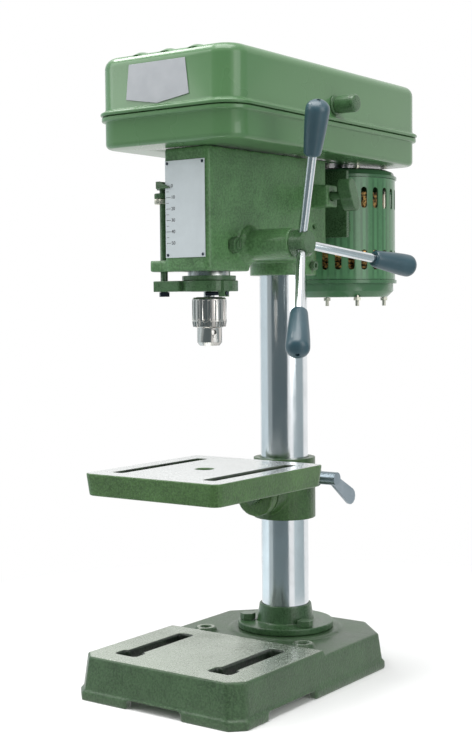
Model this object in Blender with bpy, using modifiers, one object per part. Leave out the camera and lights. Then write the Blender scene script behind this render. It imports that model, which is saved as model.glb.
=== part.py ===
"""A small bench drill press: cast base, round column, tilting table, belt-driven head."""

import math

import bmesh
import bpy
from mathutils import Matrix, Vector

# ---- fits and cutters ----
GAP = 0.0003            # between pieces that touch or seat on each other
RUN = 0.0003            # round a shaft, bar or sleeve that turns or slides
FAR = 0.7000            # reach of a cutter that passes right through
LAP = 0.0010            # how far one shape reaches into the shape it is joined to

# ---- where the column stands, from the middle of the whole machine ----
COLUMN_X = -0.0215
COLUMN_Y = 0.0218

# ---- base ----
BASE_HALF = 0.0926      # half width at the foot
BASE_FRONT = -0.2076
BASE_BACK = 0.0678
BASE_DRAFT = 0.0050     # how far each side leans in by the top
BASE_DECK = 0.0344      # rear deck
BASE_TOP = 0.0391       # machined front pad
BASE_STEP_Y = -0.0687
BASE_LIP = 0.0080
BASE_LIP_OUT = 0.0014
BASE_FRONT_CUT = 0.0125
BASE_BACK_CUT = 0.0350
BASE_WALL = 0.0090
BASE_ROOF = 0.0090
ARCH_HIGH = 0.0075
ARCH_HALF = 0.0300
SIDE_ARCH = (-0.1640, -0.0900)
PAD_R = 0.0540
PAD_HIGH = 0.0018
SLOT_X = 0.0520
SLOT_WIDE = 0.0140
SLOT_ENDS = (-0.1800, -0.0910)
SLOT_MOUTH = 0.0220     # wide end where a bolt head drops in
SLOT_MOUTH_LONG = 0.0130
FOOT_HOLE_X = 0.0560
FOOT_HOLE_Y = -0.0555
FOOT_HOLE_R = 0.0045
FOOT_BOSS_R = 0.0105

# ---- column and its flange ----
COLUMN_R = 0.0230
COLUMN_WALL = 0.0040
COLUMN_TOP = 0.4360
FLANGE_R = 0.0465
FLANGE_THICK = 0.0060
FLANGE_HUB_R = 0.0280
FLANGE_HUB_TOP_R = 0.0252
FLANGE_HUB_TOP = 0.0595
FLANGE_BOLT_R = 0.0040
FLANGE_BOLT_PCR = 0.0368
FLANGE_BOLT_FLATS = 0.0130
FLANGE_BOLT_HEAD = 0.0060
FLANGE_BOLT_FIRST = 94.0

# ---- head casting ----
HEAD_FRONT = -0.1526
HEAD_BACK = 0.0245
HEAD_FRONT_HALF = 0.0247
HEAD_BACK_HALF = 0.0340
HEAD_BOTTOM = 0.3800
HEAD_TOP = 0.4876
HEAD_ARCH = 0.3910      # underside between quill barrel and column clamp
HEAD_BARREL_END = -0.0960
HEAD_REAR_BOTTOM = 0.4070
HEAD_CLAMP_R = 0.0320
HEAD_CLAMP_BOTTOM = 0.3780
HEAD_EDGE = 0.0050
CLAMP_SCREW_Y = 0.0020
CLAMP_SCREW_Z = 0.3868
CLAMP_SCREW_R = 0.0030
CLAMP_HEAD_R = 0.0042
CLAMP_HEAD_TALL = 0.0040
CLAMP_SOCKET = 0.0040   # across its flats
CLAMP_SOCKET_DEEP = 0.0020
SET_SCREW_Y = 0.0050
SET_SCREW_Z = 0.4240
SET_SCREW_R = 0.0022
PLATE_HALF = 0.0216
PLATE_Z = (0.3919, 0.4766)
PLATE_THICK = 0.0008

# ---- quill, spindle and depth stop ----
SPINDLE_Y = -0.1195
STROKE = 0.0500
QUILL_R = 0.0190
QUILL_BORE_R = 0.0095
QUILL_TOP = 0.4700
QUILL_HEADROOM = 0.0030
QUILL_FLANGE_R = 0.0241
QUILL_FLANGE_Z = (0.3722, 0.3762)
QUILL_NOSE_R = 0.0175
QUILL_NOSE_BOTTOM = 0.3625
QUILL_BEARING_TALL = 0.0080
SPINDLE_R = 0.0050
SPINDLE_TOP = 0.5480
KEYWAY_DEEP = 0.0028
KEYWAY_OVER = 0.0060    # beyond the guide screw at each end of the stroke
GUIDE_Z = 0.4028
GUIDE_R = 0.0040
GUIDE_TIP_R = 0.0023
GUIDE_NUT_FLATS = 0.0128
GUIDE_NUT_TALL = 0.0052
GUIDE_STANDS = 0.0072   # from the nut's seat to the screw's end
GUIDE_SLOT_WIDE = 0.0012
GUIDE_SLOT_DEEP = 0.0014
DRIVE_SLEEVE_R = 0.0090  # sleeve of the spindle pulley
DRIVE_SLEEVE_DEEP = 0.0140
DRIVE_BEARING_R = 0.0160
DRIVE_BEARING_DEEP = 0.0122
DRIVE_BEARING_DROP = 0.0010
DRIVE_WAY_R = 0.0120
DRIVE_HOLE_R = 0.0150
RING_R = 0.0260
RING_Z = (0.3623, 0.3719)
RING_LUG_X = (0.0195, 0.0255)
RING_LUG_HALF = 0.0040
RING_LUG_DROP = 0.0048
RING_SCREW_BACK = -0.0085   # from the spindle's axis
RING_SCREW_X = (0.0030, 0.0265)
RING_SCREW_R = 0.0017
RING_SCREW_Z = 0.3604
ROD_X = -0.0348
ROD_Y = -0.1400
ROD_R = 0.0033
ROD_BOTTOM = 0.3579
ROD_TOP = 0.4592
ROD_NUT_FLATS = 0.0084
ARM_HALF = 0.0071
EAR_HALF = 0.0090
EAR_TALL = 0.0100
STOP_NUT_R = 0.0080
STOP_NUT_TALL = 0.0046
POINTER_Z = (0.4529, 0.4592)
POINTER_TIP_X = -0.0150
POINTER_ROOT_X = -0.0300
POINTER_NECK_X = -0.0265
POINTER_WEB_X = (-0.0308, -0.0272)
POINTER_THICK = 0.0012
POINTER_CLEAR = 0.0006
POINTER_HUB_R = 0.0058

# ---- chuck ----
CHUCK_TOP = 0.3574
CHUCK_BOTTOM = 0.3140
CHUCK_NOSE_R = 0.0112
CHUCK_CORE_R = 0.0137
CHUCK_MOUTH_R = 0.0064
CHUCK_SEAT_DEEP = 0.0130    # how far the spindle's end goes into the chuck
CHUCK_MOUTH_ROOF = 0.0040   # metal between the mouth and the spindle's end
CHUCK_TOP_EDGE = (0.0020, 0.0015)
CHUCK_NOSE_EDGE = (0.0022, 0.0030)
SLEEVE_R = 0.0155
SLEEVE_EDGE = (0.0012, 0.0014)
SLEEVE_DROP = 0.0004
SLEEVE_GEAR = (0.0006, 0.0048)
SLEEVE_BOTTOM = 0.3308
JAW_R = 0.0020
JAW_LEAN = math.radians(11.0)
JAW_TIP_R = 0.0063
JAW_TIP_Z = 0.3170
JAW_LONG = 0.0195
JAW_WAY_BELOW = 0.0200
KEY_HOLE_R = 0.0023
KEY_HOLE_DEEP = 0.0030
KEY_HOLE_Z = 0.3260
KEY_HOLE_FIRST = -31.3

# ---- feed ----
MODULE = 0.0010
PRESSURE = math.radians(20.0)
BACKLASH = 0.00012
ADDENDUM = 0.90         # of a module
PINION_ROOT = 1.20
RACK_ROOT = 1.35
RACK_BACK = 6.00
PINION_TEETH = 16
PINION_HALF = 0.0110
FEED_Y = -0.09585
FEED_Z = 0.4035
FEED_SHAFT_R = 0.0090
FEED_NECK_R = 0.0060
FEED_NECK_LONG = 0.0025
FEED_FLANGE_R = 0.0168
FEED_FLANGE_OUT = 0.0022
FEED_STEP_R = 0.0150
FEED_STEP_OUT = 0.0018
FEED_BOSS_R = 0.0136
FEED_BOSS_END = 0.0764
HUB_R = 0.0118
HUB_END = 0.0920
HUB_PIN_R = 0.0070
HUB_PIN_SHORT = 0.0060
HUB_EDGE = 0.0024
SPOKE_ROOT_X = 0.0830
SPOKE_LEAN = math.radians(20.5)
SPOKE_FIRST = math.radians(-20.6)
SPOKE_R = 0.0040
SPOKE_HOLE_WALL = 0.0022
SPOKE_HOLE_LONG = 0.0300
KNOB_START = 0.0820
KNOB_END = 0.1300
KNOB_SMALL_R = 0.0073
KNOB_BIG_R = 0.0102
KNOB_SOCKET = 0.0120
KNOB_EDGE = 0.0010
KNOB_WAIST = 0.78       # where along the knob it is widest
KNOB_DOME = 0.80        # height of the domed end, of its radius
SPRING_CAP_R = 0.0170
SPRING_CAP_X = (-0.0432, -0.0298)
SPRING_CAP_WALL = 0.0015
SPRING_SHAFT_SHORT = 0.0020

# ---- belt case and lid ----
CASE_HALF = 0.0747
CASE_FRONT = -0.1846
CASE_BACK = 0.1402
CASE_CORNER = 0.0220
CASE_BOTTOM = 0.4880
CASE_RIM_Z = (0.5115, 0.5157)
CASE_WALL = 0.0018
CASE_EDGE = 0.0040
RIM_OUT = 0.0045
CASE_RIM_IN = 0.0010    # the tray's rim stands this far inside the lid's
LID_RIM_Z = (0.5160, 0.5195)
LID_TOP = 0.5670
LID_EDGE = 0.0080
RIB_HIGH = 0.0022
RIB_X = (-0.0300, 0.0, 0.0300)
RIB_HALF = 0.0080
RIB_Y = (-0.1800, 0.0900)
RIB_CORNER = 0.0072
BADGE = [(-0.0348, 0.5573), (0.0262, 0.5571), (0.0300, 0.5270), (-0.0044, 0.5220),
         (-0.0382, 0.5277)]
LID_KNOB_Y = -0.0250
LID_KNOB_Z = 0.5312
LID_KNOB_R = 0.0080
LID_KNOB_LONG = 0.0229
LID_KNOB_EDGE = 0.0020
LID_KNOB_FOOT = 0.0013
LID_KNOB_WAIST = 0.0010
BADGE_THICK = 0.0005
HINGE_OUT = 0.0075      # from the case's wall to the pin
HINGE_Z = 0.5208
HINGE_R = 0.0024
HINGE_PIN_R = 0.0011
HINGE_HALF = 0.0450
HINGE_LEAF = 0.0012
HINGE_CASE_TALL = 0.0140
HINGE_LID_TALL = 0.0130
HINGE_STEP = 0.0002     # between a leaf's end and its knuckle's
HINGE_GAP_DROP = 0.0020

# ---- motor and belt ----
MOTOR_Y = 0.1090
MOTOR_R = 0.0550
MOTOR_WALL = 0.0015
MOTOR_SHELL_Z = (0.3745, 0.4755)
MOTOR_TOP = 0.4850
MOTOR_BOTTOM = 0.3570
BELL_LIP = 0.0015
SHAFT_R = 0.0070
STATOR_DEEP = 0.0234    # from the shell to the rotor's bore
AIR_GAP = 0.0005
CORE_Z = (0.3960, 0.4440)
WINDING_Z = (0.3860, 0.4620)
WINDING_IN = 0.0042     # outside the rotor's bore
WINDING_CLEAR = 0.0015  # inside the studs
FAN_CLEAR = 0.0045
FAN_RIM = 0.0070
FAN_HUB_R = 0.0120
FAN_Z = (0.3750, 0.3850)
FAN_TALL = 0.0050
FAN_SHEET = 0.0015
VENTS = 26
VENT_WIDE = 0.0062
VENT_ROWS = ((0.3840, 0.4040), (0.4450, 0.4660))
BELL_HUB_R = 0.0185
BELL_HUB_TALL = 0.0120
BELL_WALL = 0.0060
BELL_SHEET = 0.0040
BELL_SHOULDER = 0.0070
BELL_EDGE = 0.0020
BELL_LIP_TALL = 0.0035
BELL_FOOT_IN = 0.0080
STUD_R = 0.0020
STUD_IN = 0.0085        # from the motor's outside to the studs' circle
STUD_FIRST = 50.5
STUD_END = 0.3480
STUD_HEAD_R = 0.0034
STUD_HEAD_TALL = 0.0024
STUD_NUT_FLATS = 0.0070
STUD_NUT_TALL = 0.0032
MOUNT_PLATE_Y = (0.0460, 0.0505)
MOUNT_PLATE_HALF = 0.0440
MOUNT_PLATE_Z = (0.4150, 0.4800)
SADDLE_HALF = 0.0360
SADDLE_BACK = 0.0800
SADDLE_TALL = 0.0100
SADDLE_IN = 0.0060      # from the plate's top and bottom edges
BAR_X = 0.0170
BAR_Z = 0.4520
BAR_R = 0.0065
BAR_FRONT = -0.0600
BAR_EDGE = 0.0010
BAR_BOLT_R = 0.0040
BAR_NUT_R = 0.0060
BAR_NUT_TALL = 0.0035
LOCK_Y = 0.0060
LOCK_LUG_END = 0.0525
LOCK_LUG_HALF = (0.0095, 0.0103)
LOCK_SCREW_R = 0.0040
LOCK_KNOB_X = (0.0638, 0.0768)
LOCK_WING = 0.0160
LOCK_WAIST_R = 0.0068
LOCK_WING_POWER = 4     # a higher power makes the wings narrower
LOCK_WING_LEAN = 117    # degrees round the screw, from the back
LOCK_KNOB_POINTS = 36
BELT_SLACK = 0.0120     # how far the motor slides towards the spindle
BELT_STEPS = 5
STEP_TALL = 0.0100
PULLEY_BOTTOM = 0.4940
STEP_SPINDLE = (0.0322, 0.0190)   # belt radius of the lowest and highest step
STEP_MOTOR = (0.0140, 0.0272)
BELT_WIDE = 0.0070
BELT_DEEP = 0.0045
BELT_FLANK = math.radians(19.0)
GROOVE_OPEN = 0.0006
GROOVE_DEEP = 0.0004
GROOVE_LIP = 0.0010
CASE_SHAFT_R = 0.0110

# ---- table ----
TABLE_HALF = 0.0736
TABLE_FRONT = -0.2092
TABLE_BACK = -0.0441
TABLE_TOP = 0.2040
TABLE_THICK = 0.0085
TABLE_SKIRT = 0.0200
TABLE_WALL = 0.0060
TABLE_CORNER = 0.0070
TABLE_DRAFT = 0.0020    # how far each side leans in by the bottom
TABLE_SLOT_X = 0.0500
TABLE_SLOT_WIDE = 0.0110
TABLE_SLOT_Y = (-0.1900, -0.0660)
TABLE_HOLE_R = 0.0080
TABLE_HOLE_Y = -0.1290
TILT_Z = 0.1710
TILT_DISC_R = 0.0205
TILT_DISC_Y = (-0.0525, -0.0417)
TILT_BOLT_R = 0.0050
TILT_HEAD_FLATS = 0.0160
TILT_HEAD_TALL = 0.0060
COLLAR_R = 0.0300
COLLAR_Z = (0.1440, 0.2025)
LEVER_Z = 0.1845
LEVER_BOSS_R = 0.0090
LEVER_BOSS_END = 0.0385
LEVER_HUB_R = 0.0063
LEVER_HUB_END = 0.0600
LEVER_SCREW_R = 0.0050
LEVER_REACH = (0.0400, -0.0250)   # along Y and Z
LEVER_ARM_X = (0.0525, 0.0555)
LEVER_ROOT_HALF = 0.0050
LEVER_TIP_R = 0.0080

# ---- what the sizes above give ----
FLANGE_BOTTOM = BASE_DECK + PAD_HIGH + GAP
FLANGE_TOP = FLANGE_BOTTOM + FLANGE_THICK
PITCH_R = MODULE * PINION_TEETH / 2
RACK_Y = FEED_Y - PITCH_R
HINGE_X = -CASE_HALF - HINGE_OUT
STATOR_BORE = MOTOR_R - MOTOR_WALL - GAP - STATOR_DEEP
STUD_PCR = MOTOR_R - STUD_IN
STUD_INSIDE = STUD_PCR - STUD_R     # the studs' nearest side to the axis
MOTOR_POINT = (0, MOTOR_Y, 0)
SPINDLE_POINT = (0, SPINDLE_Y, 0)


# ---- scene ----
def clear_scene():
    for thing in list(bpy.data.objects):
        bpy.data.objects.remove(thing)


def collection(name):
    made = bpy.data.collections.new(name)
    bpy.context.scene.collection.children.link(made)
    return made


clear_scene()
PARTS = collection("drill_press")
CUTTERS = collection("cutters")
ROOT = bpy.data.objects.new("column_axis", None)
ROOT.location = (COLUMN_X, COLUMN_Y, 0)
PARTS.objects.link(ROOT)


def finish(name, colour, roughness, metallic):
    made = bpy.data.materials.new(name)
    made.use_nodes = True
    shader = made.node_tree.nodes["Principled BSDF"]
    shader.inputs["Base Color"].default_value = (*colour, 1)
    shader.inputs["Roughness"].default_value = roughness
    shader.inputs["Metallic"].default_value = metallic
    return made


FINISHES = {
    "cast_green": finish("cast_green", (0.050, 0.120, 0.048), 0.45, 0.0),
    "sheet_green": finish("sheet_green", (0.105, 0.205, 0.100), 0.35, 0.0),
    "ground_steel": finish("ground_steel", (0.62, 0.62, 0.60), 0.30, 1.0),
    "chrome": finish("chrome", (0.80, 0.80, 0.80), 0.12, 1.0),
    "chuck_steel": finish("chuck_steel", (0.55, 0.52, 0.50), 0.28, 1.0),
    "black_steel": finish("black_steel", (0.04, 0.05, 0.07), 0.40, 1.0),
    "zinc": finish("zinc", (0.60, 0.58, 0.46), 0.35, 1.0),
    "aluminium": finish("aluminium", (0.72, 0.73, 0.74), 0.35, 1.0),
    "knob_plastic": finish("knob_plastic", (0.055, 0.085, 0.130), 0.40, 0.0),
    "copper": finish("copper", (0.75, 0.33, 0.10), 0.35, 1.0),
    "core_steel": finish("core_steel", (0.20, 0.20, 0.20), 0.50, 1.0),
    "rubber": finish("rubber", (0.02, 0.02, 0.02), 0.80, 0.0),
}


def place(thing, name, look, pivot=(0, 0, 0)):
    """Names a piece, gives it its finish and puts it on its own pivot, measured from the column."""
    thing.name = name
    thing.data.name = name
    if look is None:
        CUTTERS.objects.link(thing)
        thing.hide_render = True
        thing.display_type = "WIRE"
    else:
        PARTS.objects.link(thing)
        thing.data.materials.append(FINISHES[look])
    thing.parent = ROOT
    thing.location = pivot
    return thing


def shade(mesh):
    mesh.shade_smooth()
    mesh.set_sharp_from_angle(angle=math.radians(35))


def from_bmesh(bm, name, look, pivot=(0, 0, 0)):
    bmesh.ops.translate(bm, verts=bm.verts, vec=-Vector(pivot))
    mesh = bpy.data.meshes.new(name)
    bm.to_mesh(mesh)
    bm.free()
    shade(mesh)
    return place(bpy.data.objects.new(name, mesh), name, look, pivot)


def box(name, look, x, y, z, pivot=(0, 0, 0)):
    """A box between two limits on each axis."""
    bm = bmesh.new()
    middle = Vector([(a + b) / 2 for a, b in (x, y, z)])
    size = [b - a for a, b in (x, y, z)]
    turn = Matrix.Translation(middle) @ Matrix.Diagonal((*size, 1))
    bmesh.ops.create_cube(bm, size=1, matrix=turn)
    return from_bmesh(bm, name, look, pivot)


def rod(name, look, start, end, radius, sides=24, pivot=(0, 0, 0)):
    """A cylinder from one point to another."""
    start, end = Vector(start), Vector(end)
    along = end - start
    turn = Vector((0, 0, 1)).rotation_difference(along).to_matrix().to_4x4()
    bm = bmesh.new()
    bmesh.ops.create_cone(
        bm, cap_ends=True, segments=sides, radius1=radius, radius2=radius,
        depth=along.length, matrix=Matrix.Translation((start + end) / 2) @ turn,
    )
    return from_bmesh(bm, name, look, pivot)


AXIS_TURN = {
    "+Z": (0, 0, 0),
    "+X": (0, math.pi / 2, 0),
    "-X": (0, -math.pi / 2, 0),
    "+Y": (-math.pi / 2, 0, 0),
}


def turned(name, look, profile, at, axis="+Z", sides=32, closed=False):
    """A profile of (radius, height) turned about an axis. It runs down its outer side."""
    mesh = bpy.data.meshes.new(name)
    edges = [(i, i + 1) for i in range(len(profile) - 1)]
    if closed:
        edges.append((len(profile) - 1, 0))
    mesh.from_pydata([(r, 0, h) for r, h in profile], edges, [])
    thing = place(bpy.data.objects.new(name, mesh), name, look, at)
    thing.rotation_euler = AXIS_TURN[axis]
    screw = thing.modifiers.new("turn", "SCREW")
    screw.steps = screw.render_steps = sides
    screw.use_merge_vertices = True
    screw.merge_threshold = 0.0001
    screw.use_smooth_shade = False
    return thing


def tube(name, look, outer, inner, low, high, at, axis="+Z", sides=32):
    ring = [(outer, high), (outer, low), (inner, low), (inner, high)]
    return turned(name, look, ring, at, axis, sides, closed=True)


def as_mesh(thing, name, look, pivot=(0, 0, 0)):
    """Turns a curve into a welded mesh that can be cut and joined."""
    bpy.context.view_layer.update()
    graph = bpy.context.evaluated_depsgraph_get()
    mesh = bpy.data.meshes.new_from_object(thing.evaluated_get(graph))
    mesh.transform(thing.matrix_world)
    bpy.data.objects.remove(thing)
    bm = bmesh.new()
    bm.from_mesh(mesh)
    bmesh.ops.remove_doubles(bm, verts=bm.verts, dist=0.00001)
    bmesh.ops.recalc_face_normals(bm, faces=bm.faces)
    return from_bmesh(bm, name, look, pivot)


def outline(name, look, points, low, high, pivot=(0, 0, 0), turn=None):
    """A flat outline drawn in X and Y and raised from low to high, then turned."""
    curve = bpy.data.curves.new(name, "CURVE")
    curve.dimensions = "2D"
    curve.fill_mode = "BOTH"
    curve.extrude = (high - low) / 2
    line = curve.splines.new("POLY")
    line.points.add(len(points) - 1)
    for point, (x, y) in zip(line.points, points):
        point.co = (x, y, 0, 1)
    line.use_cyclic_u = True
    flat = bpy.data.objects.new(name, curve)
    bpy.context.scene.collection.objects.link(flat)
    lift = Matrix.Translation((0, 0, (high + low) / 2))
    flat.matrix_world = (turn or Matrix()) @ lift
    return as_mesh(flat, name, look, pivot)


# A flat outline's X and Y become the part's Y and Z, and its height becomes X.
ACROSS = Matrix(((0, 0, 1, 0), (1, 0, 0, 0), (0, 1, 0, 0), (0, 0, 0, 1)))
# Its X and Y become the part's X and Z, and its height becomes Y.
UPRIGHT = Matrix(((1, 0, 0, 0), (0, 0, 1, 0), (0, 1, 0, 0), (0, 0, 0, 1)))


def boolean(thing, other, operation):
    step = thing.modifiers.new(other.name, "BOOLEAN")
    step.operation = operation
    step.object = other


def cut(thing, *others):
    for other in others:
        boolean(thing, other, "DIFFERENCE")


def join(thing, *others):
    for other in others:
        boolean(thing, other, "UNION")


def bevel_edges(thing, width, segments, chosen):
    """Rounds the real corners whose two end points both pass a test."""
    bm = bmesh.new()
    bm.from_mesh(thing.data)
    bmesh.ops.dissolve_limit(bm, angle_limit=0.001, verts=bm.verts, edges=bm.edges)
    edges = [e for e in bm.edges
             if e.calc_face_angle(0) > 0.5 and all(chosen(v.co) for v in e.verts)]
    bmesh.ops.bevel(bm, geom=edges, offset=width, segments=segments, profile=0.5,
                    affect="EDGES")
    bm.to_mesh(thing.data)
    bm.free()
    shade(thing.data)


def corner_cut_plan(half, front, back, front_cut, back_cut):
    """A rectangle with a flat cut across each corner."""
    return [
        (-half + front_cut, front), (half - front_cut, front),
        (half, front + front_cut), (half, back - back_cut),
        (half - back_cut, back), (-half + back_cut, back),
        (-half, back - back_cut), (-half, front + front_cut),
    ]


def round_plan(half, front, back, radius, steps=5, middle=0):
    """A rectangle with rounded corners."""
    right, left = middle + half - radius, middle - half + radius
    corners = (
        (right, front + radius, -90), (right, back - radius, 0),
        (left, back - radius, 90), (left, front + radius, 180),
    )
    points = []
    for x, y, first in corners:
        for step in range(steps + 1):
            angle = math.radians(first + 90 * step / steps)
            points.append((x + radius * math.cos(angle), y + radius * math.sin(angle)))
    return points


def ring_point(centre, radius, degrees):
    angle = math.radians(degrees)
    return centre[0] + radius * math.cos(angle), centre[1] + radius * math.sin(angle)


def hexagon(flats, centre=(0, 0), first=0):
    corner = flats / 2 / math.cos(math.pi / 6)
    return [ring_point(centre, corner, first + 60 * k) for k in range(6)]


# ---- base ----
def make_base():
    """Hollow cast foot: leaning sides, a lip round the bottom, arches between four feet."""
    inset = BASE_LIP_OUT
    plan = corner_cut_plan(BASE_HALF - inset, BASE_FRONT + inset, BASE_BACK - inset,
                           BASE_FRONT_CUT, BASE_BACK_CUT)
    body = outline("base", "cast_green", plan, BASE_LIP / 2, BASE_TOP)
    middle = (BASE_FRONT + BASE_BACK) / 2
    lean = BASE_DRAFT - inset
    for vert in body.data.vertices:
        if vert.co.z > BASE_DECK:
            vert.co.x -= math.copysign(lean, vert.co.x)
            vert.co.y -= math.copysign(lean, vert.co.y - middle)
    lip_plan = corner_cut_plan(BASE_HALF, BASE_FRONT, BASE_BACK, BASE_FRONT_CUT,
                               BASE_BACK_CUT)
    join(body, outline("base_lip", None, lip_plan, 0, BASE_LIP))
    cut(body, box("rear_deck_cut", None, (-FAR, FAR), (BASE_STEP_Y, FAR),
                  (BASE_DECK, FAR)))
    join(body, rod("column_pad", None, (0, 0, BASE_DECK - BASE_ROOF / 2),
                   (0, 0, BASE_DECK + PAD_HIGH), PAD_R, 40))
    for side in (-1, 1):
        x = side * FOOT_HOLE_X
        join(body, rod(f"foot_boss_{side}", None, (x, FOOT_HOLE_Y, BASE_DECK / 2),
                       (x, FOOT_HOLE_Y, BASE_TOP), FOOT_BOSS_R))
    wall = BASE_WALL
    narrower = wall * (2 - math.sqrt(2))
    hollow_plan = corner_cut_plan(BASE_HALF - wall, BASE_FRONT + wall, BASE_BACK - wall,
                                  BASE_FRONT_CUT - narrower, BASE_BACK_CUT - narrower)
    cut(body, outline("base_hollow", None, hollow_plan, -BASE_LIP, BASE_DECK - BASE_ROOF))
    under = -BASE_LIP
    cut(body, box("arch_front_back", None, (-ARCH_HALF, ARCH_HALF), (-FAR, FAR),
                  (under, ARCH_HIGH)))
    cut(body, box("arch_sides", None, (-FAR, FAR), SIDE_ARCH, (under, ARCH_HIGH)))
    for side in (-1, 1):
        x = side * SLOT_X
        half = SLOT_WIDE / 2
        front, back = SLOT_ENDS
        cut(body, box(f"bolt_slot_{side}", None, (x - half, x + half), (front, back),
                      (0, FAR)))
        cut(body, box(f"slot_mouth_{side}", None,
                      (x - SLOT_MOUTH / 2, x + SLOT_MOUTH / 2),
                      (front, front + SLOT_MOUTH_LONG), (0, FAR)))
        x = side * FOOT_HOLE_X
        cut(body, rod(f"foot_hole_{side}", None, (x, FOOT_HOLE_Y, 0),
                      (x, FOOT_HOLE_Y, FAR), FOOT_HOLE_R, 16))
    for angle in flange_angles():
        x, y = ring_point((0, 0), FLANGE_BOLT_PCR, angle)
        cut(body, rod("base_bolt_hole", None, (x, y, 0), (x, y, FAR), FLANGE_BOLT_R + GAP,
                      12))


def flange_angles():
    return [FLANGE_BOLT_FIRST + 120 * k for k in range(3)]


def make_column():
    """Steel tube held upright in a cast flange by three hex bolts."""
    bore = COLUMN_R + GAP
    foot = FLANGE_BOTTOM + GAP
    profile = [
        (FLANGE_HUB_TOP_R, FLANGE_HUB_TOP), (FLANGE_HUB_R, FLANGE_TOP),
        (FLANGE_R, FLANGE_TOP), (FLANGE_R, FLANGE_BOTTOM), (bore, FLANGE_BOTTOM),
        (bore, FLANGE_HUB_TOP),
    ]
    flange = turned("column_flange", "cast_green", profile, (0, 0, 0), sides=40,
                    closed=True)
    for number, angle in enumerate(flange_angles(), 1):
        x, y = ring_point((0, 0), FLANGE_BOLT_PCR, angle)
        cut(flange, rod(f"flange_hole_{number}", None, (x, y, 0), (x, y, FAR),
                        FLANGE_BOLT_R + GAP, 12))
        seat = FLANGE_TOP + GAP
        points = hexagon(FLANGE_BOLT_FLATS, (x, y), angle)
        bolt = outline(f"flange_bolt_{number}", "black_steel", points, seat,
                       seat + FLANGE_BOLT_HEAD, (x, y, seat))
        join(bolt, rod(f"flange_shank_{number}", None, (x, y, BASE_DECK - BASE_ROOF),
                       (x, y, seat + FLANGE_BOLT_HEAD / 2), FLANGE_BOLT_R, 12))
    tube("column", "chrome", COLUMN_R, COLUMN_R - COLUMN_WALL, foot, COLUMN_TOP,
         (0, 0, 0), sides=48)


# ---- head ----
def head_half(y):
    """Half width of the head casting, which widens evenly towards the column."""
    share = (y - HEAD_FRONT) / (HEAD_BACK - HEAD_FRONT)
    return HEAD_FRONT_HALF + share * (HEAD_BACK_HALF - HEAD_FRONT_HALF)


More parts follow.
